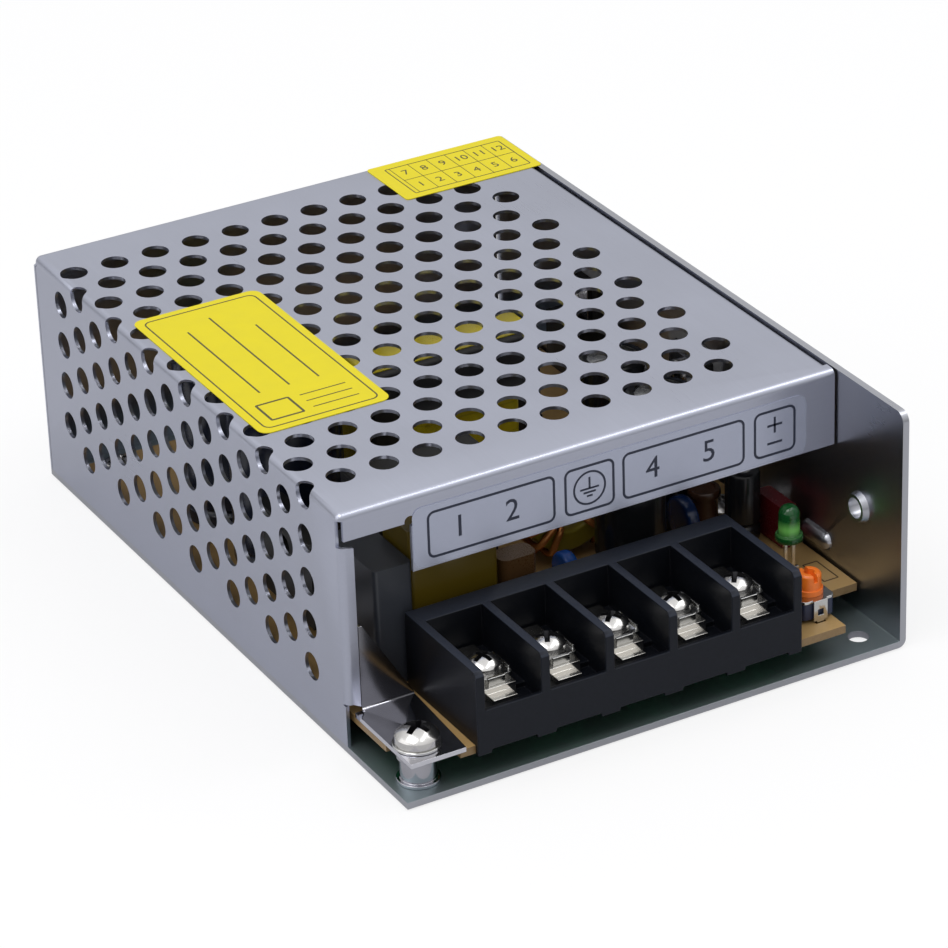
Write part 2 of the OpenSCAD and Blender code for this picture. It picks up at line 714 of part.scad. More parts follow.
module trimmer_rotor() {
    r = knob_d / 2;
    color("darkorange") from_corner() translate([trimmer_pos[0], trimmer_pos[1], knob_z]) difference() {
        union() {
            translate([0, 0, -frame_t - 0.9]) cylinder(h = frame_t + 1, r = 1.05);
            cylinder(h = 0.8, r = r + 0.25);
            cylinder(h = knob_h - 0.3, r = r);
            translate([0, 0, knob_h - 0.3]) cylinder(h = 0.3, r1 = r, r2 = r - 0.3);
        }
        translate([-0.3, -r - 1, knob_h - 1.1]) cube([0.6, knob_d + 2, 2]);
        translate([0, 0, knob_h - 1.1]) cylinder(h = 2, r = 0.75);
    }
}

/* ---- Mains side ---- */

module box_capacitor(spot, h, pins) {
    leads(pins, 1);
    translate([spot[0], spot[1], top_z]) difference() {
        rounded_box([spot[2], spot[3], h], 0.7);
        translate([1, 1, -1]) cube([spot[2] - 2, spot[3] - 2, 1.4]);
    }
}

module yellow_capacitor() {
    color("gold") from_corner() box_capacitor(yellow_cap, 21.4, yellow_pins);
}

module grey_capacitor() {
    color("gray") from_corner() box_capacitor(grey_cap, 17.9, grey_pins);
}

// A ferrite core of two E halves round a bobbin
module e_core(w, d, h, leg) {
    along_y(-d / 2, d) difference() {
        translate([-w / 2, 0]) square([w, h]);
        for (x = [leg / 2, leg - w / 2]) translate([x, leg]) square([w / 2 - leg * 1.5, h - 2 * leg]);
    }
}

choke_d = 8;
choke_h = 19;
choke_leg = 3.4;

module filter_choke_core() {
    color("dimgray") from_corner() translate([choke_pos[0], choke_pos[1], top_z + 1.2])
        e_core(choke_w, choke_d, choke_h, choke_leg);
}

module filter_choke_coil() {
    gap = 0.2;
    color("goldenrod") from_corner() {
        translate([choke_pos[0], choke_pos[1], top_z + 1.2 + choke_leg + gap]) difference() {
            translate([-choke_w / 2 + choke_leg + gap, -choke_d / 2 - 2.6, 0])
                rounded_box([choke_w - 2 * choke_leg - 2 * gap, choke_d + 5.2, choke_h - 2 * choke_leg - 2 * gap], 1.4);
            translate([-choke_leg / 2 - gap, -choke_d / 2 - gap, -1])
                cube([choke_leg + 2 * gap, choke_d + 2 * gap, choke_h]);
        }
        for (s = [-1, 1]) translate([choke_pos[0] - 7.6, choke_pos[1] + s * 5.1 - 1, top_z])
            cube([15.2, 2, choke_leg + 1.6]);
        leads(choke_pins, 1);
    }
}

module fuse_glass() {
    color("aliceblue") from_corner() translate([fuse_pos[0] + fuse_cap_l, fuse_pos[1], top_z + fuse_r + 0.4])
        rotate([0, 90, 0]) difference() {
            cylinder(h = fuse_l - 2 * fuse_cap_l, r = fuse_r - 0.2);
            translate([0, 0, -1]) cylinder(h = fuse_l, r = fuse_r - 0.8);
        }
}

module fuse_caps() {
    color("silver") from_corner() {
        for (x = [0, fuse_l - fuse_cap_l]) translate([fuse_pos[0] + x, fuse_pos[1], top_z + fuse_r + 0.4])
            rotate([0, 90, 0]) cylinder(h = fuse_cap_l, r = fuse_r);
        leads(fuse_pins, 1.2);
    }
}

// A coated disc on two leads, turned about the vertical
module disc_part(p, d, t, lift, pins, step, turn = 0) {
    translate([p[0], p[1], top_z + lift + d / 2]) rotate([90, 0, turn]) translate([0, 0, -t / 2]) {
        cylinder(h = t, r = d / 2 - t * 0.3);
        translate([0, 0, t * 0.2]) cylinder(h = t * 0.6, r = d / 2);
    }
    leads(pins, lift + d / 2 - sqrt(pow(d / 2, 2) - pow(step, 2)) + 0.5);
}

module inrush_disc() {
    color("darkgreen") from_corner() disc_part(inrush_pos, 11, 4.5, 1.5, inrush_pins, 2.5);
}

module bridge_rectifier() {
    color("dimgray") from_corner() {
        leads(bridge_pins, 3);
        translate([bridge_pos[0] - 2, bridge_pos[1] - bridge_l / 2, top_z + 2.5]) difference() {
            cube([4, bridge_l, 13]);
            translate([-1, bridge_l / 2, 9.5]) rotate([0, 90, 0]) cylinder(h = 6, r = 1.6);
            translate([-1, -1, 11.5]) rotate([45, 0, 0]) cube([6, 3, 3]);
        }
    }
}

module can_capacitor(d, h) {
    r = d / 2;
    rotate_extrude() polygon([[0, 0], [r - 0.5, 0], [r, 0.5], [r, 2.4], [r - 0.5, 2.9], [r - 0.5, 3.2],
        [r, 3.7], [r, h - 0.5], [r - 0.5, h], [r - 1.2, h], [r - 1.5, h - 0.3], [0, h - 0.3]]);
}

module bulk_capacitors() {
    color("darkslategray") from_corner() {
        for (y = bulk_ys) translate([bulk_x, y, top_z]) can_capacitor(bulk_d, bulk_h);
        leads(bulk_pins);
    }
}

/* ---- Transformer ---- */

module transformer_core() {
    color("dimgray") from_corner() translate([transformer_pos[0], transformer_pos[1], top_z + core_lift])
        e_core(core_w, core_d - core_in, core_h, core_leg);
}

module transformer_coil() {
    gap = 0.2;
    color("gold") from_corner() translate([transformer_pos[0], transformer_pos[1], top_z + core_lift + core_leg + 1.2])
        difference() {
            translate([-coil_w / 2 + gap, -core_d / 2 - 1.5, 0])
                rounded_box([coil_w - 2 * gap, core_d + 3, core_h - 2 * core_leg - 2.4], 2);
            translate([-3.5, -core_d / 2, -1]) cube([7, core_d, core_h]);
        }
}

module transformer_bobbin() {
    gap = 0.2;
    z0 = top_z + core_lift + core_leg;
    color("black") from_corner() {
        translate([transformer_pos[0], transformer_pos[1], 0]) {
            for (z = [z0 + gap / 2, z0 + core_h - 2 * core_leg - 1.1]) translate([0, 0, z]) difference() {
                translate([-coil_w / 2 + gap, -core_d / 2 - 2.6, 0])
                    cube([coil_w - 2 * gap, core_d + 5.2, 1 - gap / 2 + 0.1]);
                translate([-2.5, -core_d / 2 + 1.8, -1]) cube([5, core_d - 3.6, 4]);
            }
            difference() {
                translate([-3.3, -core_d / 2 + 0.8, z0 + gap])
                    cube([6.6, core_d - 1.6, core_h - 2 * core_leg - 2 * gap]);
                translate([-2.5, -core_d / 2 + 1.8, z0 - 1]) cube([5, core_d - 3.6, core_h]);
            }
            for (s = [-1, 1]) translate([-coil_w / 2 + gap, s * (core_d / 2 + 2.6) - (s > 0 ? 3.2 : 0), top_z])
                cube([coil_w - 2 * gap, 3.2, z0 - top_z + gap]);
        }
        leads(transformer_pins, 0.5);
    }
}

/* ---- Devices clamped to the right wall ---- */

// A three-leg power device standing flat against its pad
module power_device(y, k) {
    x1 = pad_x;
    translate([x1 - device_tab_t, y - device_w / 2, top_z + device_lift]) difference() {
        cube([device_tab_t, device_w, device_h]);
        translate([-1, device_w / 2, clip_z - top_z - device_lift]) rotate([0, 90, 0])
            cylinder(h = 4, r = tap_r + 0.2);
    }
    translate([x1 - device_tab_t - device_body_t, y - device_w / 2, top_z + device_lift])
        cube([device_body_t, device_w, 9]);
    for (i = [0:2]) translate([device_pins[k * 3 + i][0], device_pins[k * 3 + i][1], board_z - lead_out])
        translate([-0.25, -0.3, 0]) cube([0.5, 0.6, board_t + lead_out + device_lift + 0.2]);
}

module switching_transistor() {
    color("black") from_corner() power_device(device_ys[1], 1);
}

module output_rectifier() {
    color("black") from_corner() power_device(device_ys[0], 0);
}

module insulating_pads() {
    color("lightgray") from_corner() for (y = device_ys) translate([pad_x, y - 7, top_z + 1.4]) difference() {
        cube([pad_t, 14, 18.5]);
        translate([-1, 7, clip_z - top_z - 1.4]) rotate([0, 90, 0]) cylinder(h = 3, r = tap_r + 0.1);
    }
}

// Spring clips, each held by a screw through the device's tab
module device_clips() {
    x = pad_x - device_tab_t;
    color("silver") from_corner() for (y = device_ys) difference() {
        translate([x - 0.8, y - 3.4, clip_z - 2]) cube([0.8, 6.8, 5.4]);
        translate([x - 3, y, clip_z]) rotate([0, 90, 0]) cylinder(h = 5, r = tap_r + 0.1);
    }
}

module clip_screws() {
    len = case_w - 0.1 - pad_x + device_tab_t + 0.8;
    color("silver") from_corner() for (y = device_ys) translate([pad_x - device_tab_t - 0.8, y, clip_z])
        rotate([0, -90, 0]) pan_screw(5.5, 2, len);
}

/* ---- Output side and control ---- */

module output_capacitors() {
    color("darkslategray") from_corner() {
        for (p = output_spots) translate([p[0], p[1], top_z]) can_capacitor(out_d, out_h);
        leads(output_pins);
    }
}

ring_r = 7;
ring_hole_r = 3.8;
ring_t = 6;

module inductor_core() {
    color("khaki") from_corner() translate([inductor_pos[0], inductor_pos[1], top_z + ring_r + 1.4])
        rotate([90, 0, 0]) translate([0, 0, -ring_t / 2]) difference() {
            cylinder(h = ring_t, r = ring_r);
            translate([0, 0, -1]) cylinder(h = ring_t + 2, r = ring_hole_r);
        }
}

// Turns of wire round the ring core, each a closed square loop
module inductor_winding() {
    wire = 1;
    gap = 0.1;
    color("peru") from_corner() {
        translate([inductor_pos[0], inductor_pos[1], top_z + ring_r + 1.4]) rotate([90, 0, 0])
            for (k = [0:10]) rotate(-60 + k * 30) translate([(ring_r + ring_hole_r) / 2, 0, -wire / 2])
                rotate([90, 0, 0]) translate([0, wire / 2, -wire / 2]) linear_extrude(wire) difference() {
                    rounded_spool(ring_r - ring_hole_r + 2 * gap + 2 * wire, ring_t + 2 * gap + 2 * wire, 0.9);
                    rounded_spool(ring_r - ring_hole_r + 2 * gap, ring_t + 2 * gap, 0.2);
                }
        leads(inductor_pins, 2.2);
    }
}

module rounded_spool(w, h, r) {
    translate([-w / 2, -h / 2]) rounded_square([w, h], r);
}

module disc_capacitors() {
    color("royalblue") from_corner() for (i = [0, 1])
        disc_part(disc_spots[i], disc_sizes[i], 2.2, 0.9, [disc_pins[2 * i], disc_pins[2 * i + 1]], 1.8, 90);
}

module optocoupler() {
    color("dimgray") from_corner() {
        translate([opto_pos[0] - 3.2, opto_pos[1] - 2.3, top_z + 0.4]) difference() {
            cube([6.4, 4.6, 3.4]);
            translate([1.2, 3.4, 3.1]) cylinder(h = 1, r = 0.5);
        }
        leads(opto_pins, 1.6);
        for (p = opto_pins) translate([min(p[0], opto_pos[0] + sign(p[0] - opto_pos[0]) * 3.1) - 0.1,
            p[1] - 0.3, top_z + 1.2]) cube([1, 0.6, 0.4]);
    }
}

module resistors() {
    color("tan") from_corner() {
        for (p = resistor_spots) translate([p[0] - resistor_l / 2, p[1], top_z + 1.2]) rotate([0, 90, 0]) {
            cylinder(h = resistor_l, r = 1);
            for (z = [0, resistor_l - 1.6]) translate([0, 0, z]) cylinder(h = 1.6, r = 1.2);
            translate([0, 0, resistor_l / 2 - 5 - lead_r]) cylinder(h = 10 + 2 * lead_r, r = lead_r, $fn = 16);
        }
        leads(resistor_pins, 1.2);
    }
}

module film_capacitor() {
    color("darkred") from_corner() {
        leads(film_pins, 1);
        translate([film_pos[0] - 1.25, film_pos[1] - 3.6, top_z + 0.2]) rounded_box([2.5, 7.2, 6.3], 0.6);
    }
}

module small_capacitor() {
    color("black") from_corner() {
        translate([small_pos[0], small_pos[1], top_z]) can_capacitor(5, 11);
        leads(small_pins);
    }
}

module tan_capacitor() {
    color("burlywood") from_corner() {
        leads(tan_pins, 1);
        translate([tan_cap[0], tan_cap[1], top_z + 0.5]) rounded_box([tan_cap[2], tan_cap[3], 11.5], 1.2);
    }
}

// A choke wound on a small drum core, under a brown sleeve
module drum_choke() {
    r = 2.4;
    color("saddlebrown") from_corner() {
        leads(drum_pins, 0.5);
        translate([drum_pos[0], drum_pos[1], top_z + 0.3]) rotate_extrude() polygon([[0, 0], [r, 0], [r, 1],
            [r - 0.4, 1.4], [r - 0.4, 5.6], [r, 6], [r, 7], [r - 0.8, 7], [r - 0.8, 6.7], [0, 6.7]]);
    }
}

/* ---- Labels ---- */

module top_label() {
    color("yellow") from_corner() translate([2.2, cover_front + 25.4, case_h])
        rounded_box([19.8, 40.4, label_t], 1.5);
}

module corner_label() {
    color("yellow") from_corner() translate([case_w - 23.4, case_l - 13.4, case_h])
        rounded_box([23.2, 12.8, label_t], 0.6);
}

module terminal_label() {
    h = lip_h - 2.4;
    color("whitesmoke") from_corner() along_y(cover_front - label_t, label_t)
        translate([lip_short_w + 0.1, case_h - lip_h + 0.2]) rounded_square([cover_right - lip_short_w - 4.8, h], 1.4);
}

base_tray();
cover();
cover_screws();
circuit_board();
board_standoffs();
board_screws();
earth_plate();
earth_screw();
earth_washer();
terminal_housing();
for (n = [1:poles]) {
    contact_plate(n);
    clamp_plate(n);
    terminal_screw(n);
}
led_lamp();
led_leads();
trimmer_body();
trimmer_frame();
trimmer_rotor();
yellow_capacitor();
grey_capacitor();
filter_choke_core();
filter_choke_coil();
fuse_glass();
fuse_caps();
inrush_disc();
bridge_rectifier();
bulk_capacitors();
transformer_core();
transformer_coil();
transformer_bobbin();
switching_transistor();
output_rectifier();
insulating_pads();
device_clips();
clip_screws();
output_capacitors();
inductor_core();
inductor_winding();
disc_capacitors();
optocoupler();
resistors();
film_capacitor();
small_capacitor();
tan_capacitor();
drum_choke();
top_label();
corner_label();
terminal_label();
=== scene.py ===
import math

import bmesh
import bpy
from mathutils import Matrix, Vector


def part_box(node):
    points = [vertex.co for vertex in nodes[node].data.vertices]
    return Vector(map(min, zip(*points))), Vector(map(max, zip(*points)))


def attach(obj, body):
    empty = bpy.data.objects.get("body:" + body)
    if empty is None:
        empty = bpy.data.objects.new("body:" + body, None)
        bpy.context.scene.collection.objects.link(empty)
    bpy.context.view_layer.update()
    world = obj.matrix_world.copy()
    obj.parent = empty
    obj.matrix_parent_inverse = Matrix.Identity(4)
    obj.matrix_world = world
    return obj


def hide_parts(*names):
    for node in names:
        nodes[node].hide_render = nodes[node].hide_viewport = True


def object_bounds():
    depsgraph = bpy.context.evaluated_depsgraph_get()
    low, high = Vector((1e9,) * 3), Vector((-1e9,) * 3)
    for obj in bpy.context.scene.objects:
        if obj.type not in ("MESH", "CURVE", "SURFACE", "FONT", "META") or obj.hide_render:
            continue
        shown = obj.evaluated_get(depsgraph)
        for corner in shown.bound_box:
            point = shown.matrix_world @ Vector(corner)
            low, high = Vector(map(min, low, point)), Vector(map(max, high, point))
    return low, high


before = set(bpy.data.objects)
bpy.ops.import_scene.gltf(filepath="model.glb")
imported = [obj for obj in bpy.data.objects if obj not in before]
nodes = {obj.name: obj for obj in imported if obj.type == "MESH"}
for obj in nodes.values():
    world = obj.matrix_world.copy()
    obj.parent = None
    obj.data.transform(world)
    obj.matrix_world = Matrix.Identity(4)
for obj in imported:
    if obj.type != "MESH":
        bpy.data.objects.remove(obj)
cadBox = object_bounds()
mm = 0.001

# the case in mm, measured from its front left bottom corner
case = {"width": 78.0, "length": 110.0, "boardTop": 5.6, "boardUnder": 4.4}


def at(x, y, z=0.0):
    # a place given in mm from the case's front left bottom corner
    return Vector(((x - case["width"] / 2) * mm, (y - case["length"] / 2) * mm, z * mm))


def middle(node):
    low, high = (Vector(v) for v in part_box(node))
    return (low + high) / 2, low, high


def mathMethod(operation, *fixed, flip=False):
    # a method of Wire that adds one Math node; flip puts the wire itself last
    def method(self, *others):
        values = (*others, self) if flip else (self, *others, *fixed)
        inputs = {str(i): v for i, v in enumerate(values)}
        return self.owner.node("ShaderNodeMath", {"operation": operation}, **inputs)
    return method


class Wire:
    # a value in a node tree; arithmetic on it adds Math nodes
    def __init__(self, owner, socket):
        self.owner = owner
        self.socket = socket

    def calc(self, operation, *others):
        return mathMethod(operation)(self, *others)

    __add__ = __radd__ = mathMethod("ADD")
    __mul__ = __rmul__ = mathMethod("MULTIPLY")
    __sub__, __rsub__ = mathMethod("SUBTRACT"), mathMethod("SUBTRACT", flip=True)
    __truediv__, __rtruediv__ = mathMethod("DIVIDE"), mathMethod("DIVIDE", flip=True)
    __pow__, repeat = mathMethod("POWER"), mathMethod("FLOORED_MODULO")
    __gt__, __lt__ = mathMethod("GREATER_THAN"), mathMethod("LESS_THAN")
    __neg__, __abs__ = mathMethod("MULTIPLY", -1.0), mathMethod("ABSOLUTE")
    sin, cos = mathMethod("SINE"), mathMethod("COSINE")

    def ramp(self, low, high, outLow=0.0, outHigh=1.0):
        return self.owner.node("ShaderNodeMapRange", {"clamp": True}, **{
            "Value": self, "From Min": low, "From Max": high, "To Min": outLow, "To Max": outHigh})


class Tree:
    # shared by materials and geometry recipes: adds a node, sets it up, then feeds its inputs
    def node(self, kind, settings=None, output=0, **values):
        made = self.tree.nodes.new(kind)
        for label, value in (settings or {}).items():
            setattr(made, label, value)
        for label, value in values.items():
            place = int(label) if label.isdigit() else label.replace("_", " ")
            self.feed(made.inputs[place], value)
        return Wire(self, made.outputs[output])

    def feed(self, socket, value):
        if isinstance(value, Wire):
            self.tree.links.new(value.socket, socket)
        elif hasattr(value, "__len__") and not isinstance(value, str) and len(value) == 3 \
                and len(socket.default_value) == 4:
            socket.default_value = (*value, 1.0)
        else:
            socket.default_value = value

    def split(self, vector):
        apart = self.tree.nodes.new("ShaderNodeSeparateXYZ")
        self.tree.links.new(vector.socket, apart.inputs[0])
        return [Wire(self, apart.outputs[i]) for i in range(3)]


class Finish(Tree):
    # one material, with its Principled shader
    def __init__(self, name, **fixed):
        self.material = bpy.data.materials.new(name)
        self.material.use_nodes = True
        self.tree = self.material.node_tree
        self.shader = self.tree.nodes["Principled BSDF"]
        for label, value in fixed.items():
            self.put(label, value)

    def put(self, label, value):
        self.feed(self.shader.inputs[label.replace("_", " ")], value)
        return self

    def place(self):
        return self.node("ShaderNodeTexCoord", output=3)

    def axes(self):
        return self.split(self.place())

    def facing(self):
        return self.split(self.node("ShaderNodeNewGeometry", output=1))

    def uv(self):
        return self.split(self.node("ShaderNodeTexCoord", output=2))

    def noise(self, size=1.0, detail=3.0, rough=0.5, stretch=(1, 1, 1)):
        spread = self.node("ShaderNodeMapping", {"vector_type": "POINT"}, Vector=self.place(), Scale=stretch)
        return self.node("ShaderNodeTexNoise", {"noise_dimensions": "3D"}, Vector=spread, Scale=size / mm,
                         Detail=detail, Roughness=rough)

    def mix(self, amount, first, second):
        return self.node("ShaderNodeMix", {"data_type": "RGBA"}, output=2,
                         **{"0": amount, "6": first, "7": second})

    def paint(self, amount, first, second):
        return self.put("Base Color", self.mix(amount, first, second))

    def tint(self, mask, colour, rough):
        # repaints where a mask is 1
        before = [Wire(self, self.shader.inputs[label].links[0].from_socket)
                  for label in ("Base Color", "Roughness")]
        self.paint(mask, before[0], colour)
        return self.put("Roughness", before[1] * (1 - mask) + mask * rough)

    def bump(self, height, strength=0.3, distance=0.05):
        return self.put("Normal", self.node("ShaderNodeBump", Height=height, Strength=strength,
                                            Distance=distance * mm))


class Recipe(Tree):
    # a Geometry Nodes tree with named inputs; it ends in Realize Instances and Set Material
    def __init__(self, name, **inputs):
        self.tree = bpy.data.node_groups.new(name, "GeometryNodeTree")
        face = self.tree.interface
        for way in ("INPUT", "OUTPUT"):
            face.new_socket("Geometry", in_out=way, socket_type="NodeSocketGeometry")
        self.inputs = {}
        for label, value in inputs.items():
            kind = "NodeSocketInt" if isinstance(value, int) else "NodeSocketFloat"
            socket = face.new_socket(label, in_out="INPUT", socket_type=kind)
            socket.default_value = value
            self.inputs[label] = socket.identifier
        self.start = self.tree.nodes.new("NodeGroupInput")

    def given(self, label="Geometry"):
        return Wire(self, self.start.outputs[label])

    def join(self, *vector):
        return self.node("ShaderNodeCombineXYZ", **{str(i): v for i, v in enumerate(vector)})

    def row(self, count, step=(0.0, 0.0, 0.0)):
        return self.node("GeometryNodeMeshLine", {"mode": "OFFSET"}, Count=count, Offset=step)

    def bar(self, *labels):
        return self.node("GeometryNodeMeshCube", Size=self.join(*(self.given(label) * mm for label in labels)))

    def spread(self, points, item, **more):
        return self.node("GeometryNodeInstanceOnPoints", Points=points, Instance=item, **more)

    def close(self, geometry, finish):
        plain = self.node("GeometryNodeRealizeInstances", Geometry=geometry)
        dressed = self.node("GeometryNodeSetMaterial", Geometry=plain, Material=finish.material)
        end = self.tree.nodes.new("NodeGroupOutput")
        self.tree.links.new(dressed.socket, end.inputs[0])
        return self


def linked(data, name="holder"):
    # a new object in the scene; a holder is a passing one that carries modifiers or a curve
    item = bpy.data.objects.new(name, data)
    bpy.context.scene.collection.objects.link(item)
    return item


def taken(holder, *others):
    # the plain mesh that a holder makes; its modifiers and all holders given then go
    mesh = bpy.data.meshes.new_from_object(holder.evaluated_get(bpy.context.evaluated_depsgraph_get()))
    holder.modifiers.clear()
    for item in (holder, *others):
        bpy.data.objects.remove(item)
    return mesh


def grown(recipe, points=((0, 0, 0),), **settings):
    # runs a recipe on loose points and returns a plain mesh
    start = bpy.data.meshes.new("start")
    start.from_pydata([tuple(p) for p in points], [], [])
    holder = linked(start)
    modifier = holder.modifiers.new("recipe", "NODES")
    modifier.node_group = recipe.tree
    for label, value in settings.items():
        modifier[recipe.inputs[label]] = value
    holder.update_tag()
    return taken(holder)


def keep(mesh, name, body="case", replaced=(), finishes=()):
    # makes a finished mesh a piece that rides on a body
    mesh.name = name
    piece = linked(mesh, name)
    if finishes:
        mesh.materials.clear()
        for finish in finishes:
            mesh.materials.append(finish.material)
    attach(piece, body)
    if replaced:
        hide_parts(*replaced)
    return piece


def softened(node, finish, width=0.1, steps=2, angle=40, body="case", second=None, pick=None):
    # a copy of a CAD node with its sharp edges rounded, which then stands for the node
    mesh = nodes[node].data.copy()
    shape = bmesh.new()
    shape.from_mesh(mesh)
    bmesh.ops.remove_doubles(shape, verts=shape.verts, dist=0.0005 * mm)
    bmesh.ops.dissolve_limit(shape, angle_limit=math.radians(0.3), verts=shape.verts, edges=shape.edges)
    for face in shape.faces:
        face.smooth = True
        face.material_index = 0
    shape.to_mesh(mesh)
    shape.free()
    mesh.set_sharp_from_angle(angle=math.radians(angle))
    holder = linked(mesh)
    bevel = holder.modifiers.new("edges", "BEVEL")
    bevel.width = width * mm
    bevel.segments = steps
    bevel.limit_method = "ANGLE"
    bevel.angle_limit = math.radians(angle)
    bevel.harden_normals = True
    bevel.miter_outer = "MITER_ARC"
    result = taken(holder)
    if pick:
        for polygon in result.polygons:
            polygon.material_index = 1 if pick(polygon) else 0
    return keep(result, node + "Shape", body, (node,), [finish] + ([second] if second else []))


def built(*makers, smooth=None):
    # runs functions that add to one bmesh, and returns the mesh
    mesh = bpy.data.meshes.new("built")
    shape = bmesh.new()
    shape.loops.layers.uv.new("UVMap")
    for maker in makers:
        maker(shape)
    bmesh.ops.recalc_face_normals(shape, faces=shape.faces)
    for face in shape.faces:
        face.smooth = bool(smooth)
    shape.to_mesh(mesh)
    shape.free()
    if smooth:
        mesh.set_sharp_from_angle(angle=math.radians(smooth))
    return mesh


def merged(*meshes):
    # joins meshes and keeps their materials
    mesh = bpy.data.meshes.new("merged")
    shape = bmesh.new()
    finishes = []
    for part in meshes:
        first = len(shape.faces)
        shape.from_mesh(part)
        shape.faces.ensure_lookup_table()
        own = list(part.materials) or [None]
        for material in own:
            if material not in finishes:
                finishes.append(material)
        for face in shape.faces[first:]:
            face.material_index = finishes.index(own[min(face.material_index, len(own) - 1)])
    shape.to_mesh(mesh)
    shape.free()
    for material in finishes:
        if material:
            mesh.materials.append(material)
    return mesh


def dressed(mesh, finish):
    mesh.materials.clear()
    mesh.materials.append(finish.material)
    return mesh


def moved(mesh, matrix):
    mesh.transform(matrix)
    return mesh


def standing(origin):
    # stands a flat drawing upright, facing the front
    return Matrix.Translation(origin) @ Matrix(((1, 0, 0), (0, 0, 1), (0, -1, 0))).transposed().to_4x4()


def lathe(centre, profile, steps=48):
    # turns a profile of (radius, height) in mm about a vertical line, with u round it and v up it
    def make(shape):
        uv = shape.loops.layers.uv.active
        rings = []
        for radius, height in profile:
            count = 1 if radius == 0 else steps
            rings.append([shape.verts.new(centre + Vector((
                radius * mm * math.cos(i * math.tau / steps), radius * mm * math.sin(i * math.tau / steps),
                height * mm))) for i in range(count)])
        for row, (low, high) in enumerate(zip(rings, rings[1:])):
            for i in range(steps):
                j = (i + 1) % steps
                corners = [(low[i % len(low)], i, row), (low[j % len(low)], i + 1, row),
                           (high[j % len(high)], i + 1, row + 1), (high[i % len(high)], i, row + 1)]
                seen = []
                for corner in corners:
                    if corner[0] not in [c[0] for c in seen]:
                        seen.append(corner)
                if len(seen) < 3:
                    continue
                face = shape.faces.new([c[0] for c in seen])
                for loop, corner in zip(face.loops, seen):
                    loop[uv].uv = (corner[1] / steps, profile[corner[2]][1])
    return make


def roundedPath(x0, y0, x1, y1, radius, steps=6):
    points = []
    corners = ((x1 - radius, y1 - radius, 0), (x0 + radius, y1 - radius, 90), (x0 + radius, y0 + radius, 180),
               (x1 - radius, y0 + radius, 270))
    for cx, cy, start in corners:
        for i in range(steps + 1):
            a = math.radians(start + 90 * i / steps)
            points.append((cx + radius * math.cos(a), cy + radius * math.sin(a)))
    return points


def slab(path, low, high):
    # a flat plate with the outline given, between two heights in mm
    def make(shape):
        bottom = [shape.verts.new(Vector((x, y, low)) * mm) for x, y in path]
        top = [shape.verts.new(Vector((x, y, high)) * mm) for x, y in path]
        shape.faces.new(bottom[::-1])
        shape.faces.new(top)
        for i in range(len(path)):
            j = (i + 1) % len(path)
            shape.faces.new((bottom[i], bottom[j], top[j], top[i]))
    return make


def outline(outer, inner, low, high):
    # a closed line between two outlines of as many points
    def make(shape):
        loops = [[shape.verts.new(Vector((x, y, z)) * mm) for x, y in path]
                 for path, z in ((outer, low), (outer, high), (inner, high), (inner, low))]
        for k in range(4):
            first, second = loops[k], loops[(k + 1) % 4]
            for i in range(len(outer)):
                j = (i + 1) % len(outer)
                shape.faces.new((first[i], first[j], second[j], second[i]))
    return make


def circle(x, y, radius, steps):
    return [(x + radius * math.cos(i * math.tau / steps), y + radius * math.sin(i * math.tau / steps))
            for i in range(steps)]


def oblong(x, y, a, b):
    # a rectangle's corners from its middle and half sides
    return [(x - a, y - b), (x + a, y - b), (x + a, y + b), (x - a, y + b)]


def boxLine(x0, y0, x1, y1, radius, line, low, high):
    return outline(roundedPath(x0, y0, x1, y1, radius),
                   roundedPath(x0 + line, y0 + line, x1 - line, y1 - line, max(0.05, radius - line)), low, high)


def figure(text, size, x, y, low, high):
    # a plain number or sign as a thin solid, centred on a place in mm
    data = bpy.data.curves.new("figure", "FONT")
    data.body = text
    data.size = size * mm
    data.align_x = "CENTER"
    data.align_y = "CENTER"
    data.extrude = (high - low) / 2 * mm
    data.resolution_u = 3
    return moved(taken(linked(data)), Matrix.Translation(Vector((x, y, (low + high) / 2)) * mm))


def tube(points, radius, finish, steps=10):
    # a round wire through points in metres
    data = bpy.data.curves.new("tube", "CURVE")
    data.dimensions = "3D"
    data.bevel_depth = radius * mm
    data.bevel_resolution = steps // 4
    data.use_fill_caps = True
    line = data.splines.new("POLY")
    line.points.add(len(points) - 1)
    for spot, point in zip(line.points, points):
        spot.co = (*point, 1)
    return dressed(taken(linked(data)), finish)


# the sheet metal: grain, clouds, depth of the lines and spread of tone
sheetLook = {"grain": 3.2, "clouds": 0.05, "lineDepth": 0.02, "spread": 0.10}


def rolledSteel(name, colour, rough, grain=1.0, **fixed):
    # zinc-plated sheet: fine rolling grain along Y, soft clouds and faint handling marks
    made = Finish(name, Metallic=1.0, **fixed)
    lip = abs(made.facing()[1]).ramp(0.5, 0.7)
    alongY = made.noise(sheetLook["grain"], 4.0, 0.7, (1.0, 0.03, 1.0))
    alongX = made.noise(sheetLook["grain"], 4.0, 0.7, (0.03, 1.0, 1.0))
    lines = alongY * (1 - lip) + alongX * lip
    clouds = made.noise(sheetLook["clouds"], 3.0, 0.55)
    marks = made.noise(0.9, 6.0, 0.75, (1.0, 0.22, 1.0)).ramp(0.60, 0.74)
    tone = lines * (0.16 * grain) + clouds * 0.24 - marks * (0.03 * grain)
    low = [c * (1 - sheetLook["spread"] * grain) for c in colour]
    high = [min(1.0, c * (1 + sheetLook["spread"] * 0.7 * grain)) for c in colour]
    made.paint(tone.ramp(0.08, 0.32), low, high)
    made.put("Roughness", lines * (0.14 * grain) + clouds * 0.14 + marks * 0.06 + (rough - 0.13))
    made.bump(lines * 0.6 + clouds * 0.3, 0.10 * grain, sheetLook["lineDepth"])
    return made


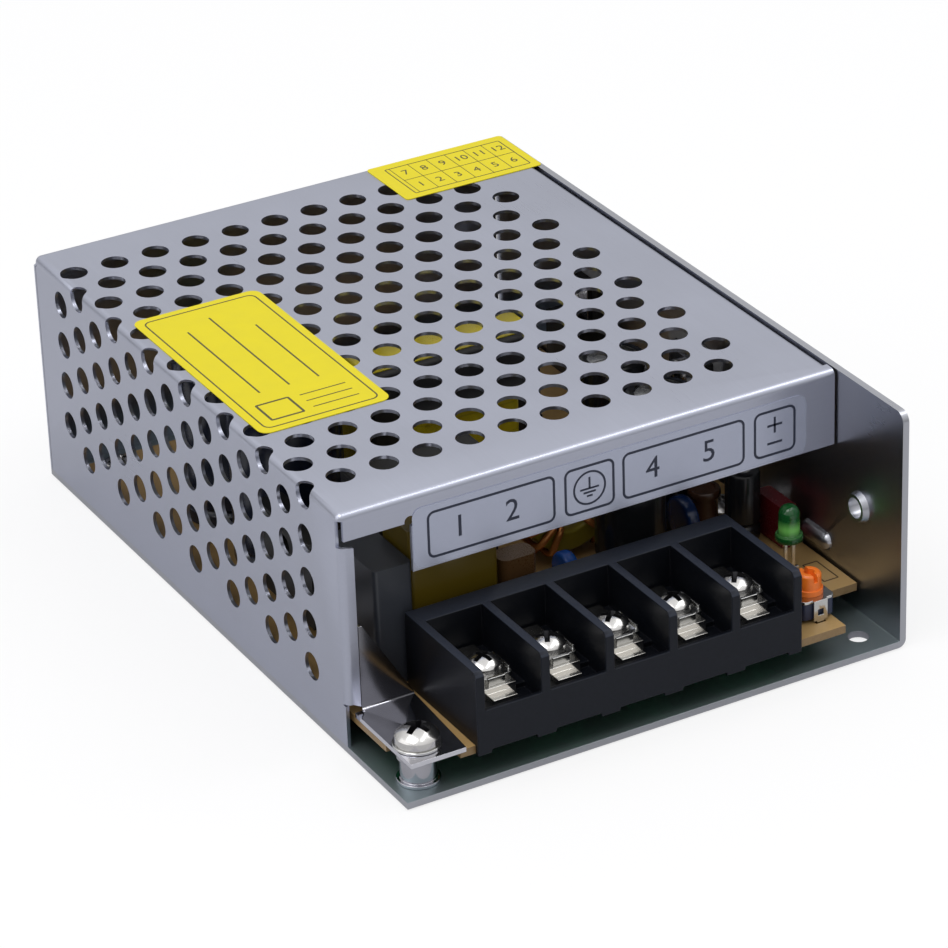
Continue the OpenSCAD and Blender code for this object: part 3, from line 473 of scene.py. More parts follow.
def plated(name, colour, rough, dirt=0.5):
    # bright nickel or tin plate with slight tarnish
    made = Finish(name, Metallic=1.0)
    patches = made.noise(0.35)
    pits = made.noise(5.0, 2.0, 0.5).ramp(0.62, 0.80)
    dull = [c * 0.72 for c in colour]
    made.paint(patches.ramp(0.35, 0.75) * dirt, colour, dull)
    made.put("Roughness", patches * 0.16 + pits * 0.10 + (rough - 0.08))
    made.bump(patches * 0.8 + pits * 0.2, 0.04, 0.02)
    return made


def moulded(name, colour, rough=0.42, grit=0.3, sheen=1.18, **fixed):
    # moulded plastic with a fine eroded texture
    made = Finish(name, **fixed)
    fine = made.noise(5.0, 3.0, 0.6)
    broad = made.noise(0.12, 2.0, 0.5)
    light = [min(1.0, c * sheen + 0.003) for c in colour]
    made.paint(fine * 0.5 + broad * 0.5, colour, light)
    made.put("Roughness", fine * 0.12 + broad * 0.10 + (rough - 0.10))
    made.bump(fine, grit, 0.03)
    return made


def printed(name, colour, rough, **fixed):
    # printed film: faint mottle, a little orange peel
    made = Finish(name, **fixed)
    mottle = made.noise(0.35)
    made.paint(mottle, [c * 0.95 for c in colour], [min(1.0, c * 1.04) for c in colour])
    made.put("Roughness", mottle * 0.10 + (rough - 0.05))
    made.bump(made.noise(0.7, 2.0, 0.5), 0.05, 0.03)
    return made


def woundTape(name, colour, step):
    # layers of glossy tape, seen as faint level lines
    made = moulded(name, colour, 0.28, 0.05, 1.1)
    z = made.axes()[2]
    layer = ((z / (step * mm)) * math.tau).sin().ramp(0.7, 1.0)
    skew = made.noise(0.3, 2.0, 0.5, (1, 1, 0.2))
    base = made.mix(layer * 0.45 + skew * 0.3, colour, [c * 0.62 for c in colour])
    return made.put("Base Color", base)


def heatShrink(name, colour, stripe):
    # a capacitor sleeve with a pale polarity stripe and minus signs in it
    made = moulded(name, colour, 0.22, 0.05, 1.3)
    u, v = made.uv()[:2]
    off = abs(u - 0.25)
    inStripe = (off < 0.055)
    dash = (off < 0.022) * ((v / 4.0).repeat(1.0) < 0.24)
    pale = made.mix(dash, stripe, colour)
    return made.paint(inStripe * (v > 0.0), made.mix(
        made.noise(2.0, 3.0, 0.6), colour, [min(1, c * 1.3 + 0.004) for c in colour]), pale)


coverSteel = rolledSteel("coverSteel", (0.455, 0.475, 0.565), 0.31, 0.9)
baseSteel = rolledSteel("baseSteel", (0.44, 0.45, 0.49), 0.34, 0.18)
stripSteel = rolledSteel("stripSteel", (0.42, 0.42, 0.46), 0.15, 0.25)
screwNickel = plated("screwNickel", (0.60, 0.59, 0.58), 0.21, 0.3)
washerNickel = plated("washerNickel", (0.62, 0.62, 0.61), 0.18, 0.3)
contactTin = plated("contactTin", (0.80, 0.78, 0.74), 0.20, 0.25)
# painted shade: the inside of the screw crosses is painted near black
recessPaintedShade = plated("recessPaintedShade", (0.045, 0.045, 0.050), 0.5)
mirrorTin = plated("mirrorTin", (0.66, 0.66, 0.72), 0.10, 0.3)


def blockMoulding():
    # black moulding, a little greyer on its upward faces near the top and on its front face; written darker
    # than it is
    made = moulded("blockBlack", (0.0030, 0.0036, 0.0055), 0.33, 0.16, 1.5, Specular_IOR_Level=0.16)
    y, z = made.axes()[1:]
    facingZ = made.facing()[2]
    low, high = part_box("terminal_housing")
    topAndFrontFaces = (z > high[2] - 0.9 * mm) * facingZ.ramp(0.3, 0.9) + (y < low[1] + 0.3 * mm) * 0.35
    fine = made.noise(2.0, 3.0, 0.6)
    deep = made.mix(fine, (0.0028, 0.0034, 0.0052), (0.0042, 0.0050, 0.0076))
    return made.paint(topAndFrontFaces * (fine * 0.4 + 0.8), deep, (0.021, 0.025, 0.037))


blockBlack = blockMoulding()
print("finishes made")

# the case: widths of the rounded edges in mm
edgeSize = {"cover": 0.10, "base": 0.12, "screw": 0.03}
softened("cover", coverSteel, edgeSize["cover"], 2, 35)
# the floor is painted greener and rougher than the steel it is: painted shade and a painted reflection of the
# green board underside
height = baseSteel.axes()[2]
trayFloor = (baseSteel.facing()[2] > 0.5) * (height < 2.0 * mm)
baseSteel.tint(trayFloor, (0.36, 0.43, 0.45), 0.46)
softened("base_tray", baseSteel, edgeSize["base"], 2, 35)
for node in ("cover_screws", "board_screws", "clip_screws"):
    softened(node, screwNickel, edgeSize["screw"], 1, 30)

# pan heads with a driving cross: rise of the dome over its height, sizes of the cross over the head's width
pan = {"rise": 0.55, "shank": 1.45, "long": 0.37, "wide": 0.085, "deep": 0.60, "narrow": 0.55, "rim": 0.12}


def crossCutter(top, width, height, turn):
    # a star-shaped plug that narrows downwards
    def make(shape):
        rings = []
        for level, share in ((0.4, 1.06), (-pan["deep"] * height, pan["narrow"])):
            a, b = width * pan["long"] * share, width * pan["wide"] * share
            cross = ((a, b), (b, b), (b, a), (-b, a), (-b, b), (-a, b),
                     (-a, -b), (-b, -b), (-b, -a), (b, -a), (b, -b), (a, -b))
            rings.append([shape.verts.new(top + Matrix.Rotation(turn, 3, "Z") @ Vector((x, y, level)) * mm)
                          for x, y in cross])
        for k in range(12):
            shape.faces.new((rings[0][k], rings[0][(k + 1) % 12], rings[1][(k + 1) % 12], rings[1][k]))
        for ring in rings:
            shape.faces.new(ring)
    return make


def panScrew(node, height, turn, body="case"):
    # a domed head cut by a cross, whose inside is written darker than the metal to stand for its shade
    centre, low, high = middle(node)
    width = (high.x - low.x) / mm
    length = (high.z - low.z) / mm
    base, rise = length - height, height * pan["rise"]
    dome = ((width / 2) ** 2 + rise ** 2) / (2 * rise)
    reach = math.asin(width / 2 / dome)
    arc = [(dome * math.sin(reach * k / 16), length - dome + dome * math.cos(reach * k / 16))
           for k in range(15, 0, -1)]
    profile = [(0, 0), (pan["shank"] - 0.3, 0), (pan["shank"], 0.3), (pan["shank"], base),
               (width / 2 - pan["rim"], base), (width / 2, base + pan["rim"]),
               (width / 2, length - rise - 0.04)]
    seat = Vector((centre.x, centre.y, low.z))
    holders = []
    for maker in (lathe(seat, profile + arc + [(0, length)], 96),
                  crossCutter(Vector((centre.x, centre.y, high.z)), width, height, turn)):
        mesh = built(maker)
        for finish in (screwNickel, recessPaintedShade):
            mesh.materials.append(finish.material)
        holders.append(linked(mesh))
    for polygon in holders[1].data.polygons:
        polygon.material_index = 1
    cut = holders[0].modifiers.new("cross", "BOOLEAN")
    cut.operation = "DIFFERENCE"
    cut.solver = "EXACT"
    cut.object = holders[1]
    mesh = taken(*holders)
    for polygon in mesh.polygons:
        polygon.use_smooth = polygon.material_index == 0
    mesh.set_sharp_from_angle(angle=math.radians(35))
    keep(mesh, node.replace("_", "") + "Head", body, (node,))


panScrew("earth_screw", 2.5, 0.5)
softened("board_standoffs", stripSteel, 0.12)
# painted reflection: the upright face is painted darker than the flat one, for the dark it would mirror
upright = (mirrorTin.facing()[2] < 0.6) * (mirrorTin.axes()[2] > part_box("earth_plate")[0][2] + 0.9 * mm)
mirrorTin.tint(upright, (0.20, 0.20, 0.22), 0.12)
softened("earth_plate", mirrorTin, 0.08)
print("case dressed")

# a toothed lock washer: a plain ring with twisted teeth round its inside
washer = {"teeth": 14, "toothLength": 0.75, "toothWidth": 0.62, "thickness": 0.34, "twist": 0.42}


def teethRecipe():
    recipe = Recipe("washerTeeth", Teeth=washer["teeth"], Radius=2.0, Length=washer["toothLength"],
                    Width=washer["toothWidth"], Thickness=washer["thickness"], Twist=washer["twist"])
    count = recipe.given("Teeth")
    spots = recipe.row(count)
    index = recipe.node("GeometryNodeInputIndex")
    turn = index * math.tau / count
    radius = recipe.given("Radius") + recipe.given("Length") * 0.5
    placed = recipe.node("GeometryNodeSetPosition", Geometry=spots, Position=recipe.join(
        turn.cos() * radius * mm, turn.sin() * radius * mm, 0.0))
    tooth = recipe.bar("Length", "Width", "Thickness")
    teeth = recipe.spread(placed, tooth, Rotation=recipe.join(recipe.given("Twist"), 0.0, turn))
    return recipe.close(teeth, washerNickel)


centre, low, high = middle("earth_washer")
ringRadius = (high.x - low.x) / 2 / mm
seat = Vector((centre.x, centre.y, low.z))
ringProfile = [(2.6, 0.06), (ringRadius - 0.05, 0.06), (ringRadius, 0.11), (ringRadius, 0.39),
               (ringRadius - 0.05, 0.44), (2.6, 0.44), (2.6, 0.06)]
washerRing = dressed(built(lathe(seat, ringProfile, 64), smooth=40), washerNickel)
washerTeeth = moved(grown(teethRecipe(), Radius=1.95), Matrix.Translation((centre.x, centre.y, centre.z)))
keep(merged(washerRing, washerTeeth), "earthWasherShape", replaced=("earth_washer",))
print("earth washer made")

# the terminal block: how far the cross of each screw is turned at rest
crossTurns = (0.35, 1.1, 0.75, 0.2, 0.95)
softened("terminal_housing", blockBlack, 0.16, 3)
for n in range(1, 6):
    softened(f"contact_plate_{n}", contactTin, 0.07)
    softened(f"clamp_plate_{n}", washerNickel, 0.08, body=f"clamp_{n}")
    panScrew(f"terminal_screw_{n}", 2.0, crossTurns[n - 1], f"screw_{n}")
print("terminal block dressed")

# the labels: their films and inks
filmYellow = printed("filmYellow", (0.66, 0.56, 0.008), 0.40, Specular_IOR_Level=0.2)
inkOlive = printed("inkOlive", (0.055, 0.047, 0.008), 0.45)
filmSilver = printed("filmSilver", (0.43, 0.46, 0.57), 0.24, Metallic=0.6)
inkNavy = printed("inkNavy", (0.012, 0.017, 0.040), 0.40)
label = {"film": 0.10, "ink": 0.02, "line": 0.22, "inset": 1.15}


def rowsRecipe(finish):
    # bars of one size, repeated at an even step along y
    recipe = Recipe("ruledRows", Count=3, Step=2.0, Length=10.0, Width=0.2, Thickness=0.02)
    spots = recipe.row(recipe.given("Count"), recipe.join(0.0, recipe.given("Step") * mm, 0.0))
    return recipe.close(recipe.spread(spots, recipe.bar("Length", "Width", "Thickness")), finish)


def ruled(recipe, x, y, turn=0.0, **settings):
    height = label["film"] + label["ink"] / 2
    place = Matrix.Translation(Vector((x, y, height)) * mm) @ Matrix.Rotation(turn, 4, "Z")
    return moved(grown(recipe, **settings), place)


oliveRows = rowsRecipe(inkOlive)
inked = (label["film"], label["film"] + label["ink"])


def topLabel():
    # a caution-yellow film with an outline, a blank square and ruled lines to write on
    low, high = middle("top_label")[1:]
    w, h = (high.x - low.x) / mm, (high.y - low.y) / mm
    inset = label["inset"]
    film = dressed(built(slab(roundedPath(0, 0, w, h, 1.5), 0.0, label["film"])), filmYellow)
    lines = dressed(built(
        boxLine(inset, inset, w - inset, h - inset, 1.2, label["line"], *inked),
        boxLine(2.9, 2.9, 8.1, 8.1, 0.3, 0.34, *inked)), inkOlive)
    rows = [ruled(oliveRows, w * share, 11.2 + length / 2, math.pi / 2, Count=1, Length=length, Width=0.26)
            for share, length in ((0.27, 22.0), (0.50, 24.5), (0.73, 19.0))]
    short = ruled(oliveRows, w * 0.5 + 3.2, 3.6, Count=3, Step=2.0, Length=7.0, Width=0.2)
    keep(moved(merged(film, lines, *rows, short), Matrix.Translation(low)), "topLabelShape",
         replaced=("top_label",))


def cornerLabel():
    # a small table of plain numbers
    low, high = middle("corner_label")[1:]
    w, h = (high.x - low.x) / mm, (high.y - low.y) / mm
    film = dressed(built(slab(roundedPath(0, 0, w, h, 0.6), 0.0, label["film"])), filmYellow)
    left, right, bottom, top = 3.0, w - 1.2, 1.3, h - 1.6
    edge = dressed(built(boxLine(left - 0.8, bottom, right, top, 0.3, 0.16, *inked)), inkOlive)
    rows = ruled(oliveRows, (left + right) / 2, (bottom + top) / 2, Count=1, Length=right - left, Width=0.12)
    step = (right - left) / 6
    columns = ruled(oliveRows, right - step, (bottom + top) / 2, math.pi / 2, Count=6, Step=step,
                    Length=top - bottom, Width=0.10)
    rowY = (bottom + 2.5, top - 2.5)
    numbers = [dressed(figure(str(k + 1), 2.3, left + step * (k % 6 + 0.5), rowY[k // 6], *inked), inkOlive)
               for k in range(12)]
    keep(moved(merged(film, edge, rows, columns, *numbers), Matrix.Translation(low)), "cornerLabelShape",
         replaced=("corner_label",))


def terminalLabel():
    # a silver film with a box of numbers for each group of terminals
    low, high = middle("terminal_label")[1:]
    w, h = (high.x - low.x) / mm, (high.z - low.z) / mm
    film = dressed(built(slab(roundedPath(0, 0, w, h, 1.4), 0.0, label["film"])), filmSilver)
    boxes = ((0.035, 0.352), (0.375, 0.502), (0.522, 0.838), (0.862, 0.972))
    y0, y1, line = 1.0, h - 1.0, 0.36
    makers = [boxLine(w * a, y0, w * b, y1, 1.1, line, *inked) for a, b in boxes]
    cx, cy, r = w * 0.4385, h / 2, 2.55
    makers.append(outline(circle(cx, cy, r, 48), circle(cx, cy, r - 0.3, 48), *inked))
    bars = [(0.0, 0.75, 0.15, 0.85), (0.0, -0.1, 1.45, 0.14), (0.0, -0.65, 0.95, 0.14), (0.0, -1.2, 0.45, 0.14)]
    makers += [slab(oblong(cx + x, cy + y, a, b), *inked) for x, y, a, b in bars]
    marks = dressed(built(*makers), inkNavy)
    signs = [("1", 0.115, 4.6), ("2", 0.245, 4.6), ("4", 0.600, 4.6), ("5", 0.745, 4.6)]
    texts = [dressed(figure(t, size, w * x, h / 2, *inked), inkNavy) for t, x, size in signs]
    px, py = w * 0.917, h / 2
    signMakers = [slab(oblong(px, py + y, a, b), *inked)
                  for a, b, y in ((1.2, 0.17, 1.1), (0.17, 1.2, 1.1), (1.2, 0.17, -1.6))]
    plus = dressed(built(*signMakers), inkNavy)
    place = standing(Vector((low.x, high.y, low.z)))
    keep(moved(merged(film, marks, plus, *texts), place), "terminalLabelShape",
         replaced=("terminal_label",))


topLabel()
cornerLabel()
terminalLabel()
print("labels printed")

# the indicator and the trimmer
lamp = {"flange": 1.95, "radius": 1.5, "body": 4.0}


def makeLamp():
    centre, low = middle("led_lamp")[:2]
    green = Finish("lampGreen", Roughness=0.12, IOR=1.5, Transmission_Weight=0.35)
    # a pale band between dark ones: painted highlight and painted shade, for the light the clear green would
    # bend
    up = (green.axes()[2] - low.z) / mm
    body = green.mix(up.ramp(0.8, 1.9), (0.012, 0.12, 0.025), (0.22, 0.66, 0.14))
    green.paint(up.ramp(2.2, 3.4), body, (0.012, 0.13, 0.03))
    green.put("Roughness", green.noise(1.2, 2.0, 0.5) * 0.06 + 0.09)
    green.bump(green.noise(0.5, 2.0, 0.5), 0.04, 0.03)
    r, f, h = lamp["radius"], lamp["flange"], lamp["body"]
    dome = [(r * math.cos(a), h + r * math.sin(a)) for a in [i * math.pi / 20 for i in range(1, 10)]]
    profile = [(0, 0), (f - 0.08, 0), (f, 0.08), (f, 0.88), (f - 0.1, 1.0), (r + 0.08, 1.0), (r, 1.08),
               (r, h), *dome, (0, h + r)]
    seat = Vector((centre.x, low.y + f * mm, low.z))
    shell = dressed(built(lathe(seat, profile, 48), smooth=50), green)
    inside = plated("lampFrame", (0.72, 0.72, 0.70), 0.3)
    cup = dressed(built(
        lathe(seat + Vector((0.45, 0, 0)) * mm, [
            (0, 1.0), (0.35, 1.0), (0.35, 2.3), (0.55, 2.9), (0.45, 2.9), (0.25, 2.6), (0, 2.6)], 20),
        lathe(seat + Vector((-0.55, 0, 0)) * mm, [(0, 1.0), (0.3, 1.0), (0.3, 2.5), (0.18, 2.8), (0, 2.8)], 20),
        smooth=40), inside)
    keep(merged(shell, cup), "lampShape", replaced=("led_lamp",))


makeLamp()
softened("led_leads", contactTin, 0.06)
softened("trimmer_body", moulded("trimmerBlue", (0.012, 0.020, 0.055), 0.35, 0.1), 0.1)
softened("trimmer_frame", washerNickel, 0.06)
softened("trimmer_rotor", moulded("rotorOrange", (0.78, 0.17, 0.015), 0.33, 0.1), 0.08, body="adjuster")
print("lamp and trimmer made")

# the board: tan on top, green below, brown at the edge
board = {"tan": (0.47, 0.30, 0.12), "mask": (0.012, 0.11, 0.045), "core": (0.30, 0.19, 0.08)}


def makeBoard():
    made = Finish("boardLaminate", Coat_Weight=0.15)
    z = made.facing()[2]
    fibre = made.noise(1.4, 4.0, 0.65, (1, 0.25, 1))
    stain = made.noise(0.10, 3.0, 0.6)
    top = made.mix(fibre * 0.5 + stain * 0.5, [c * 0.82 for c in board["tan"]], board["tan"])
    edge = made.mix(fibre, [c * 0.6 for c in board["core"]], board["core"])
    tracks = made.noise(0.22, 1.0, 0.4, (1, 0.3, 1)).ramp(0.49, 0.51)
    under = made.mix(tracks, board["mask"], [c * 1.9 for c in board["mask"]])
    side = made.mix(abs(z).ramp(0.4, 0.6), edge, top)
    made.paint((-z).ramp(0.4, 0.6), side, under)
    made.put("Roughness", fibre * 0.12 + 0.36)
    made.bump(fibre, 0.15, 0.02)
    softened("circuit_board", made, 0.05)


def makeBoardMarks():
    # printed outlines round the parts, and a ring round the lamp
    ink = printed("boardInk", (0.06, 0.035, 0.02), 0.5)
    z0, z1 = 0.0, 0.03
    lampAt, trimmerAt = middle("led_lamp")[0], middle("trimmer_body")[0]
    corner = at(0, 0)
    lx, ly = (lampAt.x - corner.x) / mm, (lampAt.y - corner.y) / mm
    tx, ty = (trimmerAt.x - corner.x) / mm, (trimmerAt.y - corner.y) / mm
    boxes = ((tx - 2.9, ty + 0.4, tx + 2.9, ty + 3.3, 0.3), (72.9, 12.6, 75.4, 18.2, 0.2),
             (62.6, 21.0, 68.4, 24.2, 0.3), (33.8, 20.2, 45.0, 24.6, 0.3), (46.8, 21.2, 50.6, 24.0, 0.3),
             (12.4, 30.2, 27.4, 32.6, 0.3))
    makers = [outline(circle(lx, ly, 2.3, 40), circle(lx, ly, 2.08, 40), z0, z1)]
    makers += [boxLine(*box, 0.2, z0, z1) for box in boxes]
    mesh = moved(dressed(built(*makers), ink), Matrix.Translation(at(0, 0, case["boardTop"] + 0.002)))
    keep(mesh, "boardMarks")


def beadRecipe(finish):
    # a cone of solder on each lead, of slightly varied size and turn
    recipe = Recipe("solderBeads", Foot=0.85, Tip=0.28, Height=0.75, Vary=0.18, Seed=7)
    cone = recipe.node("GeometryNodeMeshCone", {"fill_type": "NGON"}, Vertices=16,
                       Radius_Top=recipe.given("Foot") * mm, Radius_Bottom=recipe.given("Tip") * mm,
                       Depth=recipe.given("Height") * mm)
    size = recipe.node("FunctionNodeRandomValue", {"data_type": "FLOAT"}, output=1, **{
        "2": 1 - recipe.given("Vary"), "3": 1 + recipe.given("Vary"), "Seed": recipe.given("Seed")})
    return recipe.close(recipe.spread(recipe.given(), cone, Scale=size), finish)


def makeSolder():
    # under every lead that comes through the board
    solder = plated("solderTin", (0.62, 0.62, 0.60), 0.3, 0.6)
    leads = set()
    level = (case["boardUnder"] - 0.5) * mm
    for node, item in nodes.items():
        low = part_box(node)[0]
        if node in ("base_tray", "board_standoffs", "board_screws", "terminal_housing", "earth_screw") \
                or low[2] > level or node.startswith(("cover", "clamp", "terminal_screw")):
            continue
        bottoms = {}
        for vertex in item.data.vertices:
            if vertex.co.z < low[2] + 0.05 * mm:
                key = (round(vertex.co.x / mm / 1.4), round(vertex.co.y / mm / 1.4))
                bottoms.setdefault(key, []).append(vertex.co)
        for group in bottoms.values():
            spot = sum(group, Vector()) / len(group)
            if not any((Vector(old) - spot).length < 1.3 * mm for old in leads):
                leads.add((spot.x, spot.y, (case["boardUnder"] - 0.38) * mm))
    keep(grown(beadRecipe(solder), sorted(leads)), "solderJoints")
    print("solder joints", len(leads))


makeBoard()
makeBoardMarks()
makeSolder()

# the capacitor cans
can = {"grooveAt": 2.6, "groove": 0.45, "lip": 1.25, "ventArm": 0.62}


def ventRecipe(finish):
    # score lines across the top of each can
    recipe = Recipe("canVents", Arms=3, Length=5.0, Width=0.28, Depth=0.03)
    arms = recipe.row(recipe.given("Arms"))
    bar = recipe.bar("Length", "Width", "Depth")
    turn = recipe.node("GeometryNodeInputIndex") * math.pi / recipe.given("Arms")
    star = recipe.spread(arms, bar, Rotation=recipe.join(0.0, 0.0, turn))
    return recipe.close(recipe.spread(recipe.given(), star), finish)


canTop = plated("canAluminium", (0.78, 0.79, 0.80), 0.28, 0.3)
scoreLine = plated("canScore", (0.30, 0.31, 0.32), 0.4, 0.3)
sleeveNavy = heatShrink("sleeveNavy", (0.010, 0.014, 0.030), (0.42, 0.46, 0.52))
sleeveBlack = heatShrink("sleeveBlack", (0.007, 0.008, 0.010), (0.45, 0.45, 0.44))
canVents = ventRecipe(scoreLine)


def makeCans(node, places, diameter, height, sleeve):
    # sleeved aluminium cans, leads and score lines
    r = diameter / 2
    g = can["grooveAt"]
    makers, tops, feet = [], [], []
    for x, y in places:
        seat = at(x, y, case["boardTop"])
        makers.append(lathe(seat, [
            (0, 0.02), (r - 0.5, 0.02), (r - 0.08, 0.25), (r, 0.6), (r, g - 0.5), (r - 0.2, g - 0.35),
            (r - can["groove"], g), (r - can["groove"], g + 0.2), (r - 0.2, g + 0.55), (r, g + 0.7),
            (r, height - 0.55), (r - 0.15, height - 0.18), (r - 0.5, height),
            (r - can["lip"], height - 0.02), (r - can["lip"], height - 0.28)], 64))
        tops.append(lathe(seat, [(r - can["lip"] - 0.02, height - 0.32), (r - can["lip"] - 0.3, height - 0.24),
                                 (0, height - 0.24)], 64))
        feet.append(seat + Vector((0, 0, (height - 0.235) * mm)))
    shells = dressed(built(*makers, smooth=35), sleeve)
    lids = dressed(built(*tops, smooth=35), canTop)
    vents = grown(canVents, feet, Length=diameter * can["ventArm"], Width=0.024 * diameter)
    apart = 3.75 if diameter > 12 else 2.5 if diameter > 6 else 1.0
    lead = [(0, -1.0), (0.35, -1.0), (0.35, 1.6), (0, 1.6)]
    leads = [dressed(built(lathe(at(x + s, y, case["boardUnder"]), lead, 12), smooth=40), contactTin)
             for x, y in places for s in (-apart, apart)]
    keep(merged(shells, lids, vents, *leads), node.replace("_", "") + "Shape",
         replaced=(node,))


makeCans("bulk_capacitors", [(14.5, 60.0), (14.5, 77.0)], 16, 25, sleeveNavy)
makeCans("output_capacitors", [(52.3, 30.0), (64.1, 41.0), (64.1, 54.0)], 10, 20, sleeveBlack)
makeCans("small_capacitor", [(70.3, 29.4)], 5, 11, sleeveBlack)
# the yellow, grey and tan boxes are written darker than they are, after the shade under the lip
boxYellow = moulded("boxYellow", (0.11, 0.075, 0.004), 0.30, 0.1, 1.1)
softened("yellow_capacitor", boxYellow, 0.22, 3)
softened("grey_capacitor", moulded("boxGrey", (0.030, 0.034, 0.044), 0.36, 0.12), 0.22, 3)
softened("film_capacitor", moulded("filmRed", (0.13, 0.008, 0.012), 0.25, 0.05), 0.45, 4)
softened("tan_capacitor", moulded("dippedTan", (0.11, 0.055, 0.020), 0.28, 0.05), 0.8, 4, 30)
print("capacitors made")


discs = {"thick": 2.2, "lift": 0.9, "round": 0.55, "leads": 1.8, "wire": 0.33}


def makeDiscs():
    # two dipped discs on edge; the right one is written darker, after the shade it stands in
    blue = moulded("discBlue", (0.010, 0.075, 0.34), 0.22, 0.04)
    shadedBlue = moulded("discPaintedShade", (0.006, 0.022, 0.085), 0.22, 0.04)
    makers, boardTop = [], case["boardTop"]
    for (x, y), d, dip in (((41.5, 29.3), 5.5, blue), ((62.5, 32.6), 6.5, shadedBlue)):
        r, t, lift, e = d / 2, discs["thick"], discs["lift"], discs["round"]
        rim = [(r - e + e * math.sin(a), e * math.cos(a)) for a in [i * math.pi / 10 for i in range(11)]]
        edge = [(p, q * (t * 0.30 / e) + math.copysign(t * 0.16, q)) for p, q in rim]
        profile = [(0, t / 2), (r * 0.55, t / 2 - 0.06)] + edge + [(r * 0.55, -t / 2 + 0.06), (0, -t / 2)]
        disc = built(lathe(Vector((0, 0, 0)), profile, 40), smooth=60)
        turn = Matrix.Translation(at(x, y, boardTop + lift + r)) @ Matrix.Rotation(math.pi / 2, 4, "Y")
        makers.append(dressed(moved(disc, turn), dip))
        for s in (-discs["leads"], discs["leads"]):
            top = boardTop + lift + r - math.sqrt(r * r - s * s)
            neck = top - boardTop
            drip = [(0, neck + 0.6), (0.62, neck + 0.6), (0.5, neck + 0.1), (0.36, neck - 0.45),
                    (0, neck - 0.45)]
            makers.append(dressed(built(lathe(at(x, y + s, boardTop), drip, 14), smooth=60), dip))
            makers.append(tube([at(x, y + s, 3.4), at(x, y + s, top)], discs["wire"], contactTin))
    keep(merged(*makers), "discCapacitorShapes", replaced=("disc_capacitors",))


makeDiscs()

# the wound parts
winding = {"turns": 15, "from": -62.0, "sweep": 304.0, "wire": 0.5, "corner": 6.0}


def windingRecipe(finish):
    # a wire wound round the square section of a ring
    recipe = Recipe("ringWinding", Turns=winding["turns"], From=math.radians(winding["from"]),
                    Sweep=math.radians(winding["sweep"]), Middle=5.4, HalfWide=2.2, HalfDeep=3.6,
                    Wire=winding["wire"], Corner=winding["corner"], Steps=30)
    turns, steps = recipe.given("Turns"), recipe.given("Steps")
    count = turns * steps + 1
    spots = recipe.row(count)
    share = recipe.node("GeometryNodeInputIndex") / (turns * steps)
    around = share * turns * math.tau
    along = recipe.given("From") + recipe.given("Sweep") * share
    c, s = around.cos(), around.sin()
    corner = recipe.given("Corner")
    fit = (abs(c) ** corner + abs(s) ** corner) ** (-1 / corner)
    radius = recipe.given("Middle") + c * fit * recipe.given("HalfWide")
    placed = recipe.node("GeometryNodeSetPosition", Geometry=spots, Position=recipe.join(
        along.cos() * radius * mm, s * fit * recipe.given("HalfDeep") * mm, along.sin() * radius * mm))
    path = recipe.node("GeometryNodeMeshToCurve", Mesh=placed)
    ring = recipe.node("GeometryNodeCurvePrimitiveCircle", {"mode": "RADIUS"}, Resolution=10,
                       Radius=recipe.given("Wire") * mm)
    wire = recipe.node("GeometryNodeCurveToMesh", Curve=path, Profile_Curve=ring, Fill_Caps=True)
    smooth = recipe.node("GeometryNodeSetShadeSmooth", Geometry=wire)
    return recipe.close(smooth, finish)


def makeInductor():
    copper = moulded("enamelWire", (0.50, 0.19, 0.05), 0.2, 0.03, 1.2, Metallic=0.5)
    centre = middle("inductor_core")[0]
    winds = moved(grown(windingRecipe(copper)), Matrix.Translation(centre))
    ends = []
    for s, angle in ((1, winding["from"]), (-1, winding["from"] + winding["sweep"])):
        a = math.radians(angle)
        reach = 7.6 * mm
        first = centre + Vector((math.cos(a) * reach, 0, math.sin(a) * reach))
        foot = Vector((centre.x + s * 5 * mm, centre.y, 3.4 * mm))
        bend = Vector((foot.x, foot.y, (case["boardTop"] + 0.9) * mm))
        sag = first.lerp(bend, 0.6) + Vector((0, 0, -0.1 * mm))
        ends.append(tube([first, sag, bend, foot], winding["wire"] * 0.7, copper))
    keep(merged(winds, *ends), "inductorWindingShape", replaced=("inductor_winding",))
    # the yellow half is painted darker than the core is: painted shade, as on the boxes
    core = moulded("powderCore", (0.30, 0.24, 0.02), 0.42, 0.2)
    y = core.axes()[1]
    face = (y - centre.y).ramp(-0.0001, 0.0001)
    core.paint(face, (0.30, 0.24, 0.02), (0.42, 0.42, 0.40))
    softened("inductor_core", core, 0.5, 3)


makeInductor()


def makeDrumChoke():
    # a sleeve shrunk over a drum: swells and a waist
    brown = moulded("sleeveBrown", (0.05, 0.022, 0.012), 0.24, 0.05)
    centre = middle("drum_choke")[0]
    seat = Vector((centre.x, centre.y, (case["boardTop"] + 0.3) * mm))
    profile = [(0, 0.03), (2.1, 0.03), (2.36, 0.25), (2.38, 0.9), (2.1, 1.35), (2.0, 1.9), (1.98, 3.5),
               (2.0, 5.1), (2.1, 5.65), (2.38, 6.1), (2.38, 6.7), (2.2, 6.97), (1.65, 6.97), (1.6, 6.72),
               (0, 6.7)]
    body = built(lathe(seat, profile, 48), smooth=50)
    leads = [tube([at(66.6 + s, 33.6, 3.4), at(66.6 + s, 33.6, 6.2)], 0.33, contactTin) for s in (-1.5, 1.5)]
    keep(merged(dressed(body, brown), *leads), "drumChokeShape", replaced=("drum_choke",))


makeDrumChoke()
ferrite = moulded("ferrite", (0.022, 0.022, 0.024), 0.46, 0.25)
softened("filter_choke_core", ferrite, 0.25, 3)
softened("transformer_core", ferrite, 0.3, 3)
softened("filter_choke_coil", woundTape("chokeTape", (0.66, 0.50, 0.02), 1.3), 0.2, 3)
softened("transformer_coil", woundTape("transformerTape", (0.72, 0.58, 0.02), 1.5), 0.3, 3)


